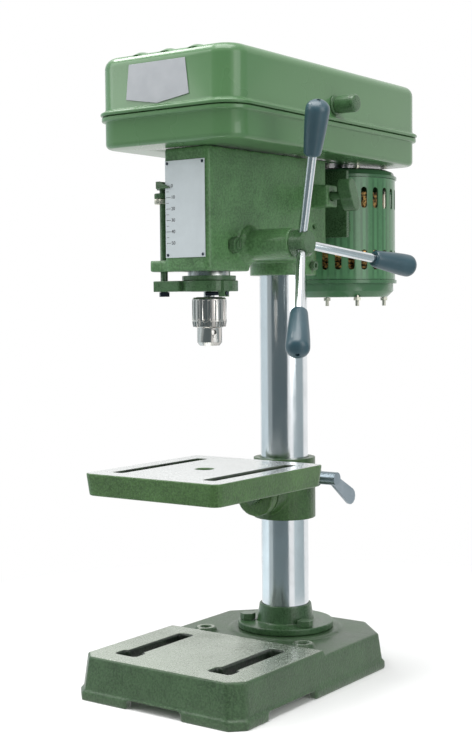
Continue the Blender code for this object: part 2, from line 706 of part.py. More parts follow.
def make_head():
    """One casting: quill barrel, feed boss, column clamp, bar sockets and depth ear."""
    slope = HEAD_ARCH - HEAD_BOTTOM
    side_view = [
        (HEAD_FRONT, HEAD_BOTTOM), (HEAD_BARREL_END, HEAD_BOTTOM),
        (HEAD_BARREL_END + slope / 2, HEAD_ARCH), (-COLUMN_R, HEAD_ARCH),
        (0, HEAD_REAR_BOTTOM), (HEAD_BACK, HEAD_REAR_BOTTOM),
        (HEAD_BACK, HEAD_TOP), (HEAD_FRONT, HEAD_TOP),
    ]
    casting = outline("head_casting", "cast_green", side_view, -FAR, FAR, turn=ACROSS)
    plan = [
        (-HEAD_FRONT_HALF, HEAD_FRONT), (HEAD_FRONT_HALF, HEAD_FRONT),
        (HEAD_BACK_HALF, HEAD_BACK), (-HEAD_BACK_HALF, HEAD_BACK),
    ]
    footprint = outline("head_footprint", None, plan, HEAD_BOTTOM / 2, FAR)
    bevel_edges(footprint, HEAD_EDGE, 4, lambda co: co.y < HEAD_FRONT / 2)
    boolean(casting, footprint, "INTERSECT")
    clamp_top = HEAD_REAR_BOTTOM + (HEAD_TOP - HEAD_REAR_BOTTOM) / 2
    join(casting, rod("column_clamp", None, (0, 0, HEAD_CLAMP_BOTTOM), (0, 0, clamp_top),
                      HEAD_CLAMP_R, 36))
    side = head_half(FEED_Y)
    flange_end = side + FEED_FLANGE_OUT
    for name, radius, end in (("feed_flange", FEED_FLANGE_R, flange_end),
                              ("feed_step", FEED_STEP_R, flange_end + FEED_STEP_OUT),
                              ("feed_barrel", FEED_BOSS_R, FEED_BOSS_END)):
        join(casting, rod(name, None, (side / 2, FEED_Y, FEED_Z), (end, FEED_Y, FEED_Z),
                          radius, 32))
    cap_seat = SPRING_CAP_X[1] + GAP
    join(casting, rod("spring_boss", None, (cap_seat, FEED_Y, FEED_Z),
                      (-side / 2, FEED_Y, FEED_Z), SPRING_CAP_R, 32))
    join(casting, box("depth_ear", None, (ROD_X - EAR_HALF, -HEAD_FRONT_HALF / 2),
                      (ROD_Y - EAR_HALF, ROD_Y + EAR_HALF),
                      (HEAD_BOTTOM, HEAD_BOTTOM + EAR_TALL)))
    lug_y, lug_z = LOCK_LUG_HALF
    join(casting, box("lock_lug", None, (BAR_X, LOCK_LUG_END),
                      (LOCK_Y - lug_y, LOCK_Y + lug_y), (BAR_Z - lug_z, BAR_Z + lug_z)))
    bearing_seat = HEAD_TOP - DRIVE_BEARING_DEEP - GAP
    bar_end = BAR_FRONT - BELT_SLACK - RUN
    cut(
        casting,
        rod("quill_bore", None, (0, SPINDLE_Y, 0), (0, SPINDLE_Y, QUILL_TOP + QUILL_HEADROOM),
            QUILL_R + RUN, 36),
        rod("bearing_bore", None, (0, SPINDLE_Y, bearing_seat), (0, SPINDLE_Y, FAR),
            DRIVE_BEARING_R + GAP, 32),
        rod("sleeve_way", None, (0, SPINDLE_Y, QUILL_TOP), (0, SPINDLE_Y, FAR), DRIVE_WAY_R,
            24),
        rod("pinion_bore", None, (-FAR, FEED_Y, FEED_Z), (FAR, FEED_Y, FEED_Z),
            FEED_SHAFT_R + RUN, 32),
        rod("column_bore", None, (0, 0, 0), (0, 0, COLUMN_TOP + GAP), COLUMN_R + GAP, 36),
        rod("rod_bore", None, (ROD_X, ROD_Y, 0), (ROD_X, ROD_Y, FAR), ROD_R + RUN, 16),
        rod("guide_bore", None, (0, SPINDLE_Y, GUIDE_Z), (FAR, SPINDLE_Y, GUIDE_Z),
            GUIDE_R + GAP, 16),
        rod("lock_bore", None, (BAR_X, LOCK_Y, BAR_Z), (FAR, LOCK_Y, BAR_Z),
            LOCK_SCREW_R + RUN, 16),
        rod("clamp_bore", None, (COLUMN_R / 2, CLAMP_SCREW_Y, CLAMP_SCREW_Z),
            (FAR, CLAMP_SCREW_Y, CLAMP_SCREW_Z), CLAMP_SCREW_R + GAP, 16),
        rod("set_screw_hole", None, (COLUMN_R / 2, SET_SCREW_Y, SET_SCREW_Z),
            (FAR, SET_SCREW_Y, SET_SCREW_Z), SET_SCREW_R, 16),
    )
    for side in (-1, 1):
        cut(casting, rod(f"bar_bore_{side}", None, (side * BAR_X, bar_end, BAR_Z),
                         (side * BAR_X, FAR, BAR_Z), BAR_R + RUN, 24))


def make_head_fittings():
    """Screws, the bare depth-scale plate and the bearing under the spindle pulley."""
    seat = head_half(SPINDLE_Y + GUIDE_NUT_FLATS * 0.6) + GAP
    nut = outline("guide_nut", None, hexagon(GUIDE_NUT_FLATS, (SPINDLE_Y, GUIDE_Z), 30),
                  seat, seat + GUIDE_NUT_TALL, turn=ACROSS)
    tip = QUILL_R - KEYWAY_DEEP + GAP
    screw_start = QUILL_R + LAP
    screw = rod("quill_guide_screw", "zinc", (screw_start, SPINDLE_Y, GUIDE_Z),
                (seat + GUIDE_STANDS, SPINDLE_Y, GUIDE_Z), GUIDE_R, 16)
    join(screw, nut, rod("guide_tip", None, (tip, SPINDLE_Y, GUIDE_Z),
                         (screw_start + LAP, SPINDLE_Y, GUIDE_Z), GUIDE_TIP_R, 12))
    slot_half = GUIDE_SLOT_WIDE / 2
    cut(screw, box("guide_slot", None, (seat + GUIDE_STANDS - GUIDE_SLOT_DEEP, FAR),
                   (SPINDLE_Y - slot_half, SPINDLE_Y + slot_half), (0, FAR)))
    start = COLUMN_R + GAP * 2
    face = HEAD_CLAMP_R + GAP
    end = face + CLAMP_HEAD_TALL
    clamp = rod("head_clamp_screw", "black_steel", (start, CLAMP_SCREW_Y, CLAMP_SCREW_Z),
                (face + LAP, CLAMP_SCREW_Y, CLAMP_SCREW_Z), CLAMP_SCREW_R, 12)
    join(clamp, rod("clamp_head", None, (face, CLAMP_SCREW_Y, CLAMP_SCREW_Z),
                    (end, CLAMP_SCREW_Y, CLAMP_SCREW_Z), CLAMP_HEAD_R, 16))
    socket = hexagon(CLAMP_SOCKET, (CLAMP_SCREW_Y, CLAMP_SCREW_Z))
    cut(clamp, outline("clamp_socket", None, socket, end - CLAMP_SOCKET_DEEP, FAR,
                       turn=ACROSS))
    back = HEAD_FRONT - GAP
    box("scale_plate", "aluminium", (-PLATE_HALF, PLATE_HALF), (back - PLATE_THICK, back),
        PLATE_Z)
    tube("sleeve_bearing", "ground_steel", DRIVE_BEARING_R, DRIVE_SLEEVE_R + RUN,
         HEAD_TOP - DRIVE_BEARING_DEEP, HEAD_TOP - DRIVE_BEARING_DROP, SPINDLE_POINT)


# ---- quill, spindle and depth stop ----
def make_quill():
    """Sliding sleeve with a rack down its back and a keyway on its right side."""
    profile = [
        (QUILL_R, QUILL_TOP), (QUILL_R, QUILL_FLANGE_Z[1]),
        (QUILL_FLANGE_R, QUILL_FLANGE_Z[1]), (QUILL_FLANGE_R, QUILL_FLANGE_Z[0]),
        (QUILL_NOSE_R, QUILL_FLANGE_Z[0]), (QUILL_NOSE_R, QUILL_NOSE_BOTTOM),
        (SPINDLE_R + RUN, QUILL_NOSE_BOTTOM),
        (SPINDLE_R + RUN, QUILL_NOSE_BOTTOM + QUILL_BEARING_TALL),
        (QUILL_BORE_R, QUILL_NOSE_BOTTOM + QUILL_BEARING_TALL),
        (QUILL_BORE_R, QUILL_TOP - QUILL_BEARING_TALL),
        (SPINDLE_R + RUN, QUILL_TOP - QUILL_BEARING_TALL), (SPINDLE_R + RUN, QUILL_TOP),
    ]
    quill = turned("quill", "ground_steel", profile, SPINDLE_POINT, sides=36, closed=True)
    pitch = math.pi * MODULE
    spare = 3
    last = math.ceil(STROKE / pitch) + spare
    points = []
    for tooth in range(-spare, last + 1):
        middle = FEED_Z + tooth * pitch
        for reach, sign in ((-RACK_ROOT, -1), (ADDENDUM, -1), (ADDENDUM, 1), (-RACK_ROOT, 1)):
            half = pitch / 4 - BACKLASH - reach * MODULE * math.tan(PRESSURE)
            points.append((RACK_Y + reach * MODULE, middle + sign * half))
    back = RACK_Y + RACK_BACK * MODULE
    points = [(back, points[0][1])] + points + [(back, points[-1][1])]
    cut(quill, outline("rack_teeth", None, points, -PINION_HALF, PINION_HALF, turn=ACROSS))
    side = GUIDE_TIP_R + RUN
    cut(quill, box("keyway", None, (QUILL_R - KEYWAY_DEEP, FAR),
                   (SPINDLE_Y - side, SPINDLE_Y + side),
                   (GUIDE_Z - KEYWAY_OVER, GUIDE_Z + STROKE + KEYWAY_OVER)))


def make_depth_stop():
    """Ring clamped under the quill; its arm carries the depth rod, nuts and pointer."""
    ring = rod("quill_clamp", "cast_green", (0, SPINDLE_Y, RING_Z[0]),
               (0, SPINDLE_Y, RING_Z[1]), RING_R, 36, SPINDLE_POINT)
    screw_y = SPINDLE_Y + RING_SCREW_BACK
    join(
        ring,
        box("clamp_arm", None, (ROD_X - ARM_HALF, -RING_R / 2),
            (ROD_Y - ARM_HALF, ROD_Y + ARM_HALF), RING_Z),
        box("clamp_lug", None, RING_LUG_X, (screw_y - RING_LUG_HALF, screw_y + RING_LUG_HALF),
            (RING_Z[0] - RING_LUG_DROP, RING_Z[1])),
    )
    cut(
        ring,
        rod("ring_bore", None, (0, SPINDLE_Y, 0), (0, SPINDLE_Y, FAR), QUILL_NOSE_R + GAP,
            36),
        rod("arm_bore", None, (ROD_X, ROD_Y, 0), (ROD_X, ROD_Y, FAR), ROD_R + GAP, 16),
        rod("lug_bore", None, (RING_SCREW_X[0], screw_y, RING_SCREW_Z),
            (FAR, screw_y, RING_SCREW_Z), RING_SCREW_R + GAP, 12),
    )
    rod("quill_clamp_screw", "black_steel", (RING_SCREW_X[0], screw_y, RING_SCREW_Z),
        (RING_SCREW_X[1], screw_y, RING_SCREW_Z), RING_SCREW_R, 12)
    pivot = (ROD_X, ROD_Y, 0)
    stem = outline("depth_rod", "black_steel", hexagon(ROD_NUT_FLATS, (ROD_X, ROD_Y), 20),
                   ROD_BOTTOM, RING_Z[0] - GAP, pivot)
    join(stem, rod("rod_stem", None, (ROD_X, ROD_Y, ROD_BOTTOM + LAP),
                   (ROD_X, ROD_Y, ROD_TOP), ROD_R, 16))
    bottom = HEAD_BOTTOM + EAR_TALL + STROKE + GAP
    for name in ("stop_nut_lower", "stop_nut_upper"):
        tube(name, "zinc", STOP_NUT_R, ROD_R + GAP, bottom, bottom + STOP_NUT_TALL, pivot,
             sides=24)
        bottom += STOP_NUT_TALL + GAP
    near = HEAD_FRONT - GAP - PLATE_THICK - POINTER_CLEAR
    front = near - POINTER_THICK
    low, high = POINTER_Z
    finger = [(POINTER_ROOT_X, low), (POINTER_TIP_X, low), (POINTER_NECK_X, high),
              (POINTER_ROOT_X, high)]
    pointer = outline("scale_pointer", "cast_green", finger, front, near, pivot, turn=UPRIGHT)
    join(pointer,
         box("pointer_web", None, POINTER_WEB_X, (front, ROD_Y), POINTER_Z),
         rod("pointer_hub", None, (ROD_X, ROD_Y, low), (ROD_X, ROD_Y, high), POINTER_HUB_R,
             20))
    cut(pointer, rod("pointer_bore", None, (ROD_X, ROD_Y, 0), (ROD_X, ROD_Y, FAR),
                     ROD_R + GAP, 16))


def make_spindle():
    """Long spindle, the chuck on its end and three jaws that lean in towards the tip."""
    spindle_end = CHUCK_TOP - CHUCK_SEAT_DEEP
    rod("spindle", "ground_steel", (0, SPINDLE_Y, spindle_end),
        (0, SPINDLE_Y, SPINDLE_TOP), SPINDLE_R, 24, SPINDLE_POINT)
    mouth_end = spindle_end - GAP - CHUCK_MOUTH_ROOF
    in_top, down_top = CHUCK_TOP_EDGE
    in_nose, up_nose = CHUCK_NOSE_EDGE
    profile = [
        (SPINDLE_R + GAP, CHUCK_TOP), (CHUCK_CORE_R - in_top, CHUCK_TOP),
        (CHUCK_CORE_R, CHUCK_TOP - down_top), (CHUCK_CORE_R, SLEEVE_BOTTOM + GAP),
        (CHUCK_NOSE_R, SLEEVE_BOTTOM - LAP), (CHUCK_NOSE_R, CHUCK_BOTTOM + up_nose),
        (CHUCK_NOSE_R - in_nose, CHUCK_BOTTOM), (CHUCK_MOUTH_R, CHUCK_BOTTOM),
        (CHUCK_MOUTH_R, mouth_end), (SPINDLE_R + GAP, mouth_end),
    ]
    body = turned("chuck_body", "chuck_steel", profile, SPINDLE_POINT, sides=24,
                  closed=True)
    sleeve_top = CHUCK_TOP - SLEEVE_DROP
    in_edge, down_edge = SLEEVE_EDGE
    in_gear, gear_tall = SLEEVE_GEAR
    sleeve = [
        (SLEEVE_R - in_edge, sleeve_top), (SLEEVE_R, sleeve_top - down_edge),
        (SLEEVE_R, SLEEVE_BOTTOM + gear_tall), (SLEEVE_R - in_gear, SLEEVE_BOTTOM),
        (CHUCK_CORE_R + RUN, SLEEVE_BOTTOM), (CHUCK_CORE_R + RUN, sleeve_top),
    ]
    turned("chuck_sleeve", "chuck_steel", sleeve, SPINDLE_POINT, sides=28, closed=True)
    for number in range(3):
        key = KEY_HOLE_FIRST + 120 * number
        x, y = ring_point(SPINDLE_POINT, CHUCK_NOSE_R * 2, key)
        inner_x, inner_y = ring_point(SPINDLE_POINT, CHUCK_NOSE_R - KEY_HOLE_DEEP, key)
        cut(body, rod(f"key_hole_{number}", None, (inner_x, inner_y, KEY_HOLE_Z),
                      (x, y, KEY_HOLE_Z), KEY_HOLE_R, 12))
        x, y = ring_point((0, 0), 1, key + 60)
        tip = Vector((x * JAW_TIP_R, y * JAW_TIP_R + SPINDLE_Y, JAW_TIP_Z))
        along = Vector((x * math.sin(JAW_LEAN), y * math.sin(JAW_LEAN), math.cos(JAW_LEAN)))
        cut(body, rod(f"jaw_way_{number}", None, tip - along * JAW_WAY_BELOW,
                      tip + along * (JAW_LONG + GAP), JAW_R + RUN, 12))
        rod(f"chuck_jaw_{number + 1}", "chuck_steel", tip, tip + along * JAW_LONG, JAW_R,
            12, tuple(tip))


# ---- feed ----
def involute(base, radius):
    """How far an involute has turned by the time it reaches this radius."""
    return math.tan(math.acos(base / radius)) - math.acos(base / radius)


def pinion_plan():
    """Outline of the pinion, with a gap between teeth facing the rack."""
    base = PITCH_R * math.cos(PRESSURE)
    tip = PITCH_R + ADDENDUM * MODULE
    root = PITCH_R - PINION_ROOT * MODULE
    half_at_pitch = math.pi / PINION_TEETH / 2 - BACKLASH / PITCH_R
    flank = []
    for share in (0.0, 0.5, 1.0):
        radius = base + (tip - base) * share
        half = half_at_pitch + involute(base, PITCH_R) - involute(base, radius)
        flank.append((radius, half))
    points = []
    for tooth in range(PINION_TEETH):
        middle = math.pi + (tooth + 0.5) * 2 * math.pi / PINION_TEETH
        rising = [(root, -flank[0][1])] + [(r, -h) for r, h in flank]
        falling = [(r, h) for r, h in reversed(flank)] + [(root, flank[0][1])]
        for radius, turn in rising + falling:
            points.append((FEED_Y + radius * math.cos(middle + turn),
                           FEED_Z + radius * math.sin(middle + turn)))
    return points


def spoke_line(number):
    """Where a spoke starts on the hub's axis, and the way it points."""
    angle = SPOKE_FIRST + number * 2 * math.pi / 3
    out = math.cos(SPOKE_LEAN)
    way = Vector((math.sin(SPOKE_LEAN), out * math.sin(angle), out * math.cos(angle)))
    return Vector((SPOKE_ROOT_X, FEED_Y, FEED_Z)), way


def make_feed():
    """Pinion shaft through the head, hub on its right end, three spokes with knobs."""
    pivot = (0, FEED_Y, FEED_Z)
    shaft = outline("pinion_shaft", "ground_steel", pinion_plan(), -PINION_HALF,
                    PINION_HALF, pivot, turn=ACROSS)
    neck = PINION_HALF + FEED_NECK_LONG
    pin_end = HUB_END - HUB_PIN_SHORT
    ends = ((SPRING_CAP_X[0] + SPRING_SHAFT_SHORT, neck, FEED_NECK_R),
            (SPRING_CAP_X[1] + LAP, -neck, FEED_SHAFT_R),
            (neck, FEED_BOSS_END, FEED_SHAFT_R),
            (FEED_BOSS_END - LAP, pin_end, HUB_PIN_R))
    for number, (start, end, radius) in enumerate(ends):
        join(shaft, rod(f"shaft_{number}", None, (start, FEED_Y, FEED_Z),
                        (end, FEED_Y, FEED_Z), radius, 24))
    hub_start = FEED_BOSS_END + GAP
    profile = [
        (0, HUB_END), (HUB_R - HUB_EDGE, HUB_END), (HUB_R, HUB_END - HUB_EDGE),
        (HUB_R, hub_start), (HUB_PIN_R + GAP, hub_start),
        (HUB_PIN_R + GAP, pin_end + GAP), (0, pin_end + GAP),
    ]
    hub = turned("feed_hub", "cast_green", profile, (0, FEED_Y, FEED_Z), "+X", 24)
    for number in range(3):
        root, way = spoke_line(number)
        inner = HUB_PIN_R / math.cos(SPOKE_LEAN) + SPOKE_HOLE_WALL
        cut(hub, rod(f"spoke_hole_{number}", None, root + way * inner,
                     root + way * SPOKE_HOLE_LONG, SPOKE_R + GAP, 16))
        rod(f"feed_spoke_{number + 1}", "chrome", root + way * (inner + GAP),
            root + way * (KNOB_START + KNOB_SOCKET), SPOKE_R, 16, pivot)
        long = KNOB_END - KNOB_START
        hole = SPOKE_R + GAP
        deep = KNOB_SOCKET + GAP
        knob_profile = [(0, long)]
        for share in (0.35, 0.62, 0.82, 0.95):
            fall = (1 - math.sqrt(1 - share ** 2)) * KNOB_BIG_R * KNOB_DOME
            knob_profile.append((KNOB_BIG_R * share, long - fall))
        knob_profile += [
            (KNOB_BIG_R, long * KNOB_WAIST), (KNOB_SMALL_R, KNOB_EDGE),
            (KNOB_SMALL_R - KNOB_EDGE, 0), (hole, 0), (hole, deep), (0, deep),
        ]
        knob = turned(f"feed_knob_{number + 1}", "knob_plastic", knob_profile,
                      tuple(root + way * KNOB_START), "+Z", 14)
        knob.rotation_mode = "QUATERNION"
        knob.rotation_quaternion = Vector((0, 0, 1)).rotation_difference(way)


def make_spring_cap():
    """Turned cap that holds the return spring round the pinion's left end."""
    outer, inner = SPRING_CAP_X
    long = inner - outer
    inside, under = SPRING_CAP_R - SPRING_CAP_WALL, long - SPRING_CAP_WALL
    profile = [
        (0, long), (inside, long), (SPRING_CAP_R, under), (SPRING_CAP_R, 0), (inside, 0),
        (inside, under), (0, under),
    ]
    turned("spring_cap", "cast_green", profile, (inner, FEED_Y, FEED_Z), "-X", 24)


# ---- belt case and lid ----
def make_case():
    """Pressed tray on top of the head that holds the pulleys and the belt."""
    plan = round_plan(CASE_HALF, CASE_FRONT, CASE_BACK, CASE_CORNER)
    tray = outline("belt_case", "sheet_green", plan, CASE_BOTTOM, CASE_RIM_Z[1])
    bevel_edges(tray, CASE_EDGE, 2, lambda co: co.z < CASE_BOTTOM + LAP)
    out = RIM_OUT - CASE_RIM_IN
    rim = outline("case_rim", None, round_plan(CASE_HALF + out, CASE_FRONT - out,
                                               CASE_BACK + out, CASE_CORNER + out),
                  *CASE_RIM_Z)
    inner = round_plan(CASE_HALF - CASE_WALL, CASE_FRONT + CASE_WALL, CASE_BACK - CASE_WALL,
                       CASE_CORNER - CASE_WALL)
    join(tray, rim)
    cut(tray, outline("case_hollow", None, inner, CASE_BOTTOM + CASE_WALL, LID_TOP))
    cut(tray, rod("sleeve_hole", None, (0, SPINDLE_Y, 0), (0, SPINDLE_Y, FAR),
                  DRIVE_HOLE_R))
    slot = round_plan(CASE_SHAFT_R, MOTOR_Y - BELT_SLACK - CASE_SHAFT_R,
                      MOTOR_Y + CASE_SHAFT_R, CASE_SHAFT_R - RUN, 4)
    cut(tray, outline("shaft_slot", None, slot, 0, FAR))


def make_lid():
    """Pressed cover over the belt, hinged on the left, with a knob on its right side."""
    pivot = (HINGE_X, 0, HINGE_Z)
    plan = round_plan(CASE_HALF, CASE_FRONT, CASE_BACK, CASE_CORNER)
    lid = outline("lid", "sheet_green", plan, LID_RIM_Z[0], LID_TOP, pivot)
    bevel_edges(lid, LID_EDGE, 3, lambda co: co.z > LID_TOP - HINGE_Z - LAP)
    for number, x in enumerate(RIB_X):
        rib = round_plan(RIB_HALF, RIB_Y[0], RIB_Y[1], RIB_CORNER, 3, x)
        join(lid, outline(f"lid_rib_{number}", None, rib, LID_TOP - LAP, LID_TOP + RIB_HIGH))
    join(lid, outline("lid_rim", None, round_plan(
        CASE_HALF + RIM_OUT, CASE_FRONT - RIM_OUT, CASE_BACK + RIM_OUT,
        CASE_CORNER + RIM_OUT), *LID_RIM_Z))
    wall = CASE_WALL
    inner = round_plan(CASE_HALF - wall, CASE_FRONT + wall, CASE_BACK - wall,
                       CASE_CORNER - wall)
    hollow = outline("lid_hollow", None, inner, LID_RIM_Z[0] / 2, LID_TOP - wall)
    bevel_edges(hollow, LID_EDGE - wall / 2, 2, lambda co: co.z > LID_TOP - wall * 2)
    cut(lid, hollow)
    long = LID_KNOB_LONG
    foot = LID_KNOB_R + LID_KNOB_FOOT
    knob = [
        (0, long), (LID_KNOB_R - LID_KNOB_EDGE, long), (LID_KNOB_R, long - LID_KNOB_EDGE),
        (LID_KNOB_R, LID_KNOB_FOOT * 2), (LID_KNOB_R - LID_KNOB_WAIST, LID_KNOB_FOOT * 1.4),
        (foot, LID_KNOB_FOOT * 1.2), (foot, 0), (0, 0),
    ]
    turned("lid_knob", "cast_green", knob, (CASE_HALF + GAP, LID_KNOB_Y, LID_KNOB_Z), "+X",
           24)
    front = CASE_FRONT - GAP
    outline("lid_badge", "aluminium", BADGE, front - BADGE_THICK, front, pivot, turn=UPRIGHT)
    make_hinge(pivot)


def make_hinge(pivot):
    """Butt hinge on the left wall: two outer knuckles on the case, one on the lid."""
    wall = -CASE_HALF - GAP
    leaf = HINGE_LEAF
    outside = -CASE_HALF - RIM_OUT - GAP
    third = HINGE_HALF / 3
    low, top = CASE_RIM_Z[0] - HINGE_CASE_TALL, CASE_RIM_Z[0] - GAP
    bent = [
        (wall - leaf, low), (wall, low), (wall, top), (outside, top), (outside, HINGE_Z),
        (outside - leaf, HINGE_Z), (outside - leaf, top - leaf), (wall - leaf, top - leaf),
    ]
    case_leaf = outline("case_hinge_leaf", "zinc", bent, -HINGE_HALF, HINGE_HALF,
                        turn=UPRIGHT)
    over = HINGE_HALF + HINGE_STEP
    join(case_leaf, rod("case_knuckle", None, (HINGE_X, -over, HINGE_Z),
                        (HINGE_X, over, HINGE_Z), HINGE_R, 16))
    cut(case_leaf, box("knuckle_gap", None, (-FAR, outside + LAP),
                       (-third - GAP, third + GAP), (LID_RIM_Z[0] - HINGE_GAP_DROP, FAR)))
    join(case_leaf, rod("hinge_pin", None, (HINGE_X, -HINGE_HALF, HINGE_Z),
                        (HINGE_X, HINGE_HALF, HINGE_Z), HINGE_PIN_R, 12))
    bottom = LID_RIM_Z[1] + GAP
    high = bottom + HINGE_LID_TALL
    bent = [
        (HINGE_X, bottom), (wall, bottom), (wall, high), (wall - leaf, high),
        (wall - leaf, bottom + leaf), (HINGE_X, bottom + leaf),
    ]
    lid_leaf = outline("lid_hinge_leaf", "zinc", bent, -third, third, pivot, turn=UPRIGHT)
    inside = third - HINGE_STEP
    join(lid_leaf, rod("lid_knuckle", None, (HINGE_X, -inside, HINGE_Z),
                       (HINGE_X, inside, HINGE_Z), HINGE_R, 16))
    cut(lid_leaf, rod("lid_pin_bore", None, (HINGE_X, -FAR, HINGE_Z),
                      (HINGE_X, FAR, HINGE_Z), HINGE_PIN_R + RUN, 12))


# ---- pulleys and belt ----
def step_radius(ends, number):
    return ends[0] + (ends[1] - ends[0]) * number / (BELT_STEPS - 1)


def belt_half_width(depth):
    return BELT_WIDE / 2 - depth * math.tan(BELT_FLANK)


def pulley_profile(ends, bore, sleeve=None):
    """V-grooved steps, listed from the top down the outside, then back up the bore."""
    profile = []
    for number in reversed(range(BELT_STEPS)):
        radius = step_radius(ends, number)
        middle = PULLEY_BOTTOM + (number + 0.5) * STEP_TALL
        top, bottom = middle + STEP_TALL / 2, middle - STEP_TALL / 2
        mouth = belt_half_width(0) + GROOVE_OPEN
        narrow = belt_half_width(BELT_DEEP) + GROOVE_OPEN / 3
        root = radius - BELT_DEEP - GROOVE_DEEP
        outer = radius + GROOVE_LIP
        profile += [(outer, top), (outer, middle + mouth), (root, middle + narrow),
                    (root, middle - narrow), (outer, middle - mouth)]
        if number == 0:
            profile.append((outer, bottom))
    if sleeve:
        profile += [(sleeve, PULLEY_BOTTOM), (sleeve, HEAD_TOP - DRIVE_SLEEVE_DEEP)]
    profile += [(bore, profile[-1][1]), (bore, profile[0][1])]
    return profile


def make_belt_drive():
    """Stepped pulleys on spindle sleeve and motor shaft, and the V-belt between them."""
    turned("spindle_pulley", "aluminium",
           pulley_profile(STEP_SPINDLE, SPINDLE_R + RUN, DRIVE_SLEEVE_R), SPINDLE_POINT,
           sides=20, closed=True)
    turned("motor_pulley", "aluminium", pulley_profile(STEP_MOTOR, SHAFT_R + GAP),
           MOTOR_POINT, sides=20, closed=True)
    used = BELT_STEPS // 2
    height = PULLEY_BOTTOM + (used + 0.5) * STEP_TALL
    front = step_radius(STEP_SPINDLE, used)
    rear = step_radius(STEP_MOTOR, used)
    spread = MOTOR_Y - SPINDLE_Y
    lean = math.degrees(math.asin((front - rear) / spread))
    path = []
    for centre, radius, first, sweep in ((SPINDLE_Y, front, 180 - lean, 180 + 2 * lean),
                                         (MOTOR_Y, rear, lean, 180 - 2 * lean)):
        for step in range(15):
            angle = first + sweep * step / 14
            path.append((centre, radius, angle))
    sections = ((0, 0), (0, 1), (1, 1), (1, 0))
    bm = bmesh.new()
    loops = []
    for centre, radius, angle in path:
        loop = []
        for deep, up in sections:
            reach = radius - deep * BELT_DEEP
            x, y = ring_point((0, centre), reach, angle)
            half = belt_half_width(deep * BELT_DEEP)
            loop.append(bm.verts.new((x, y, height + (half if up else -half))))
        loops.append(loop)
    for this, following in zip(loops, loops[1:] + loops[:1]):
        for k in range(4):
            after = (k + 1) % 4
            bm.faces.new((this[k], this[after], following[after], following[k]))
    bmesh.ops.recalc_face_normals(bm, faces=bm.faces)
    from_bmesh(bm, "drive_belt", "rubber")


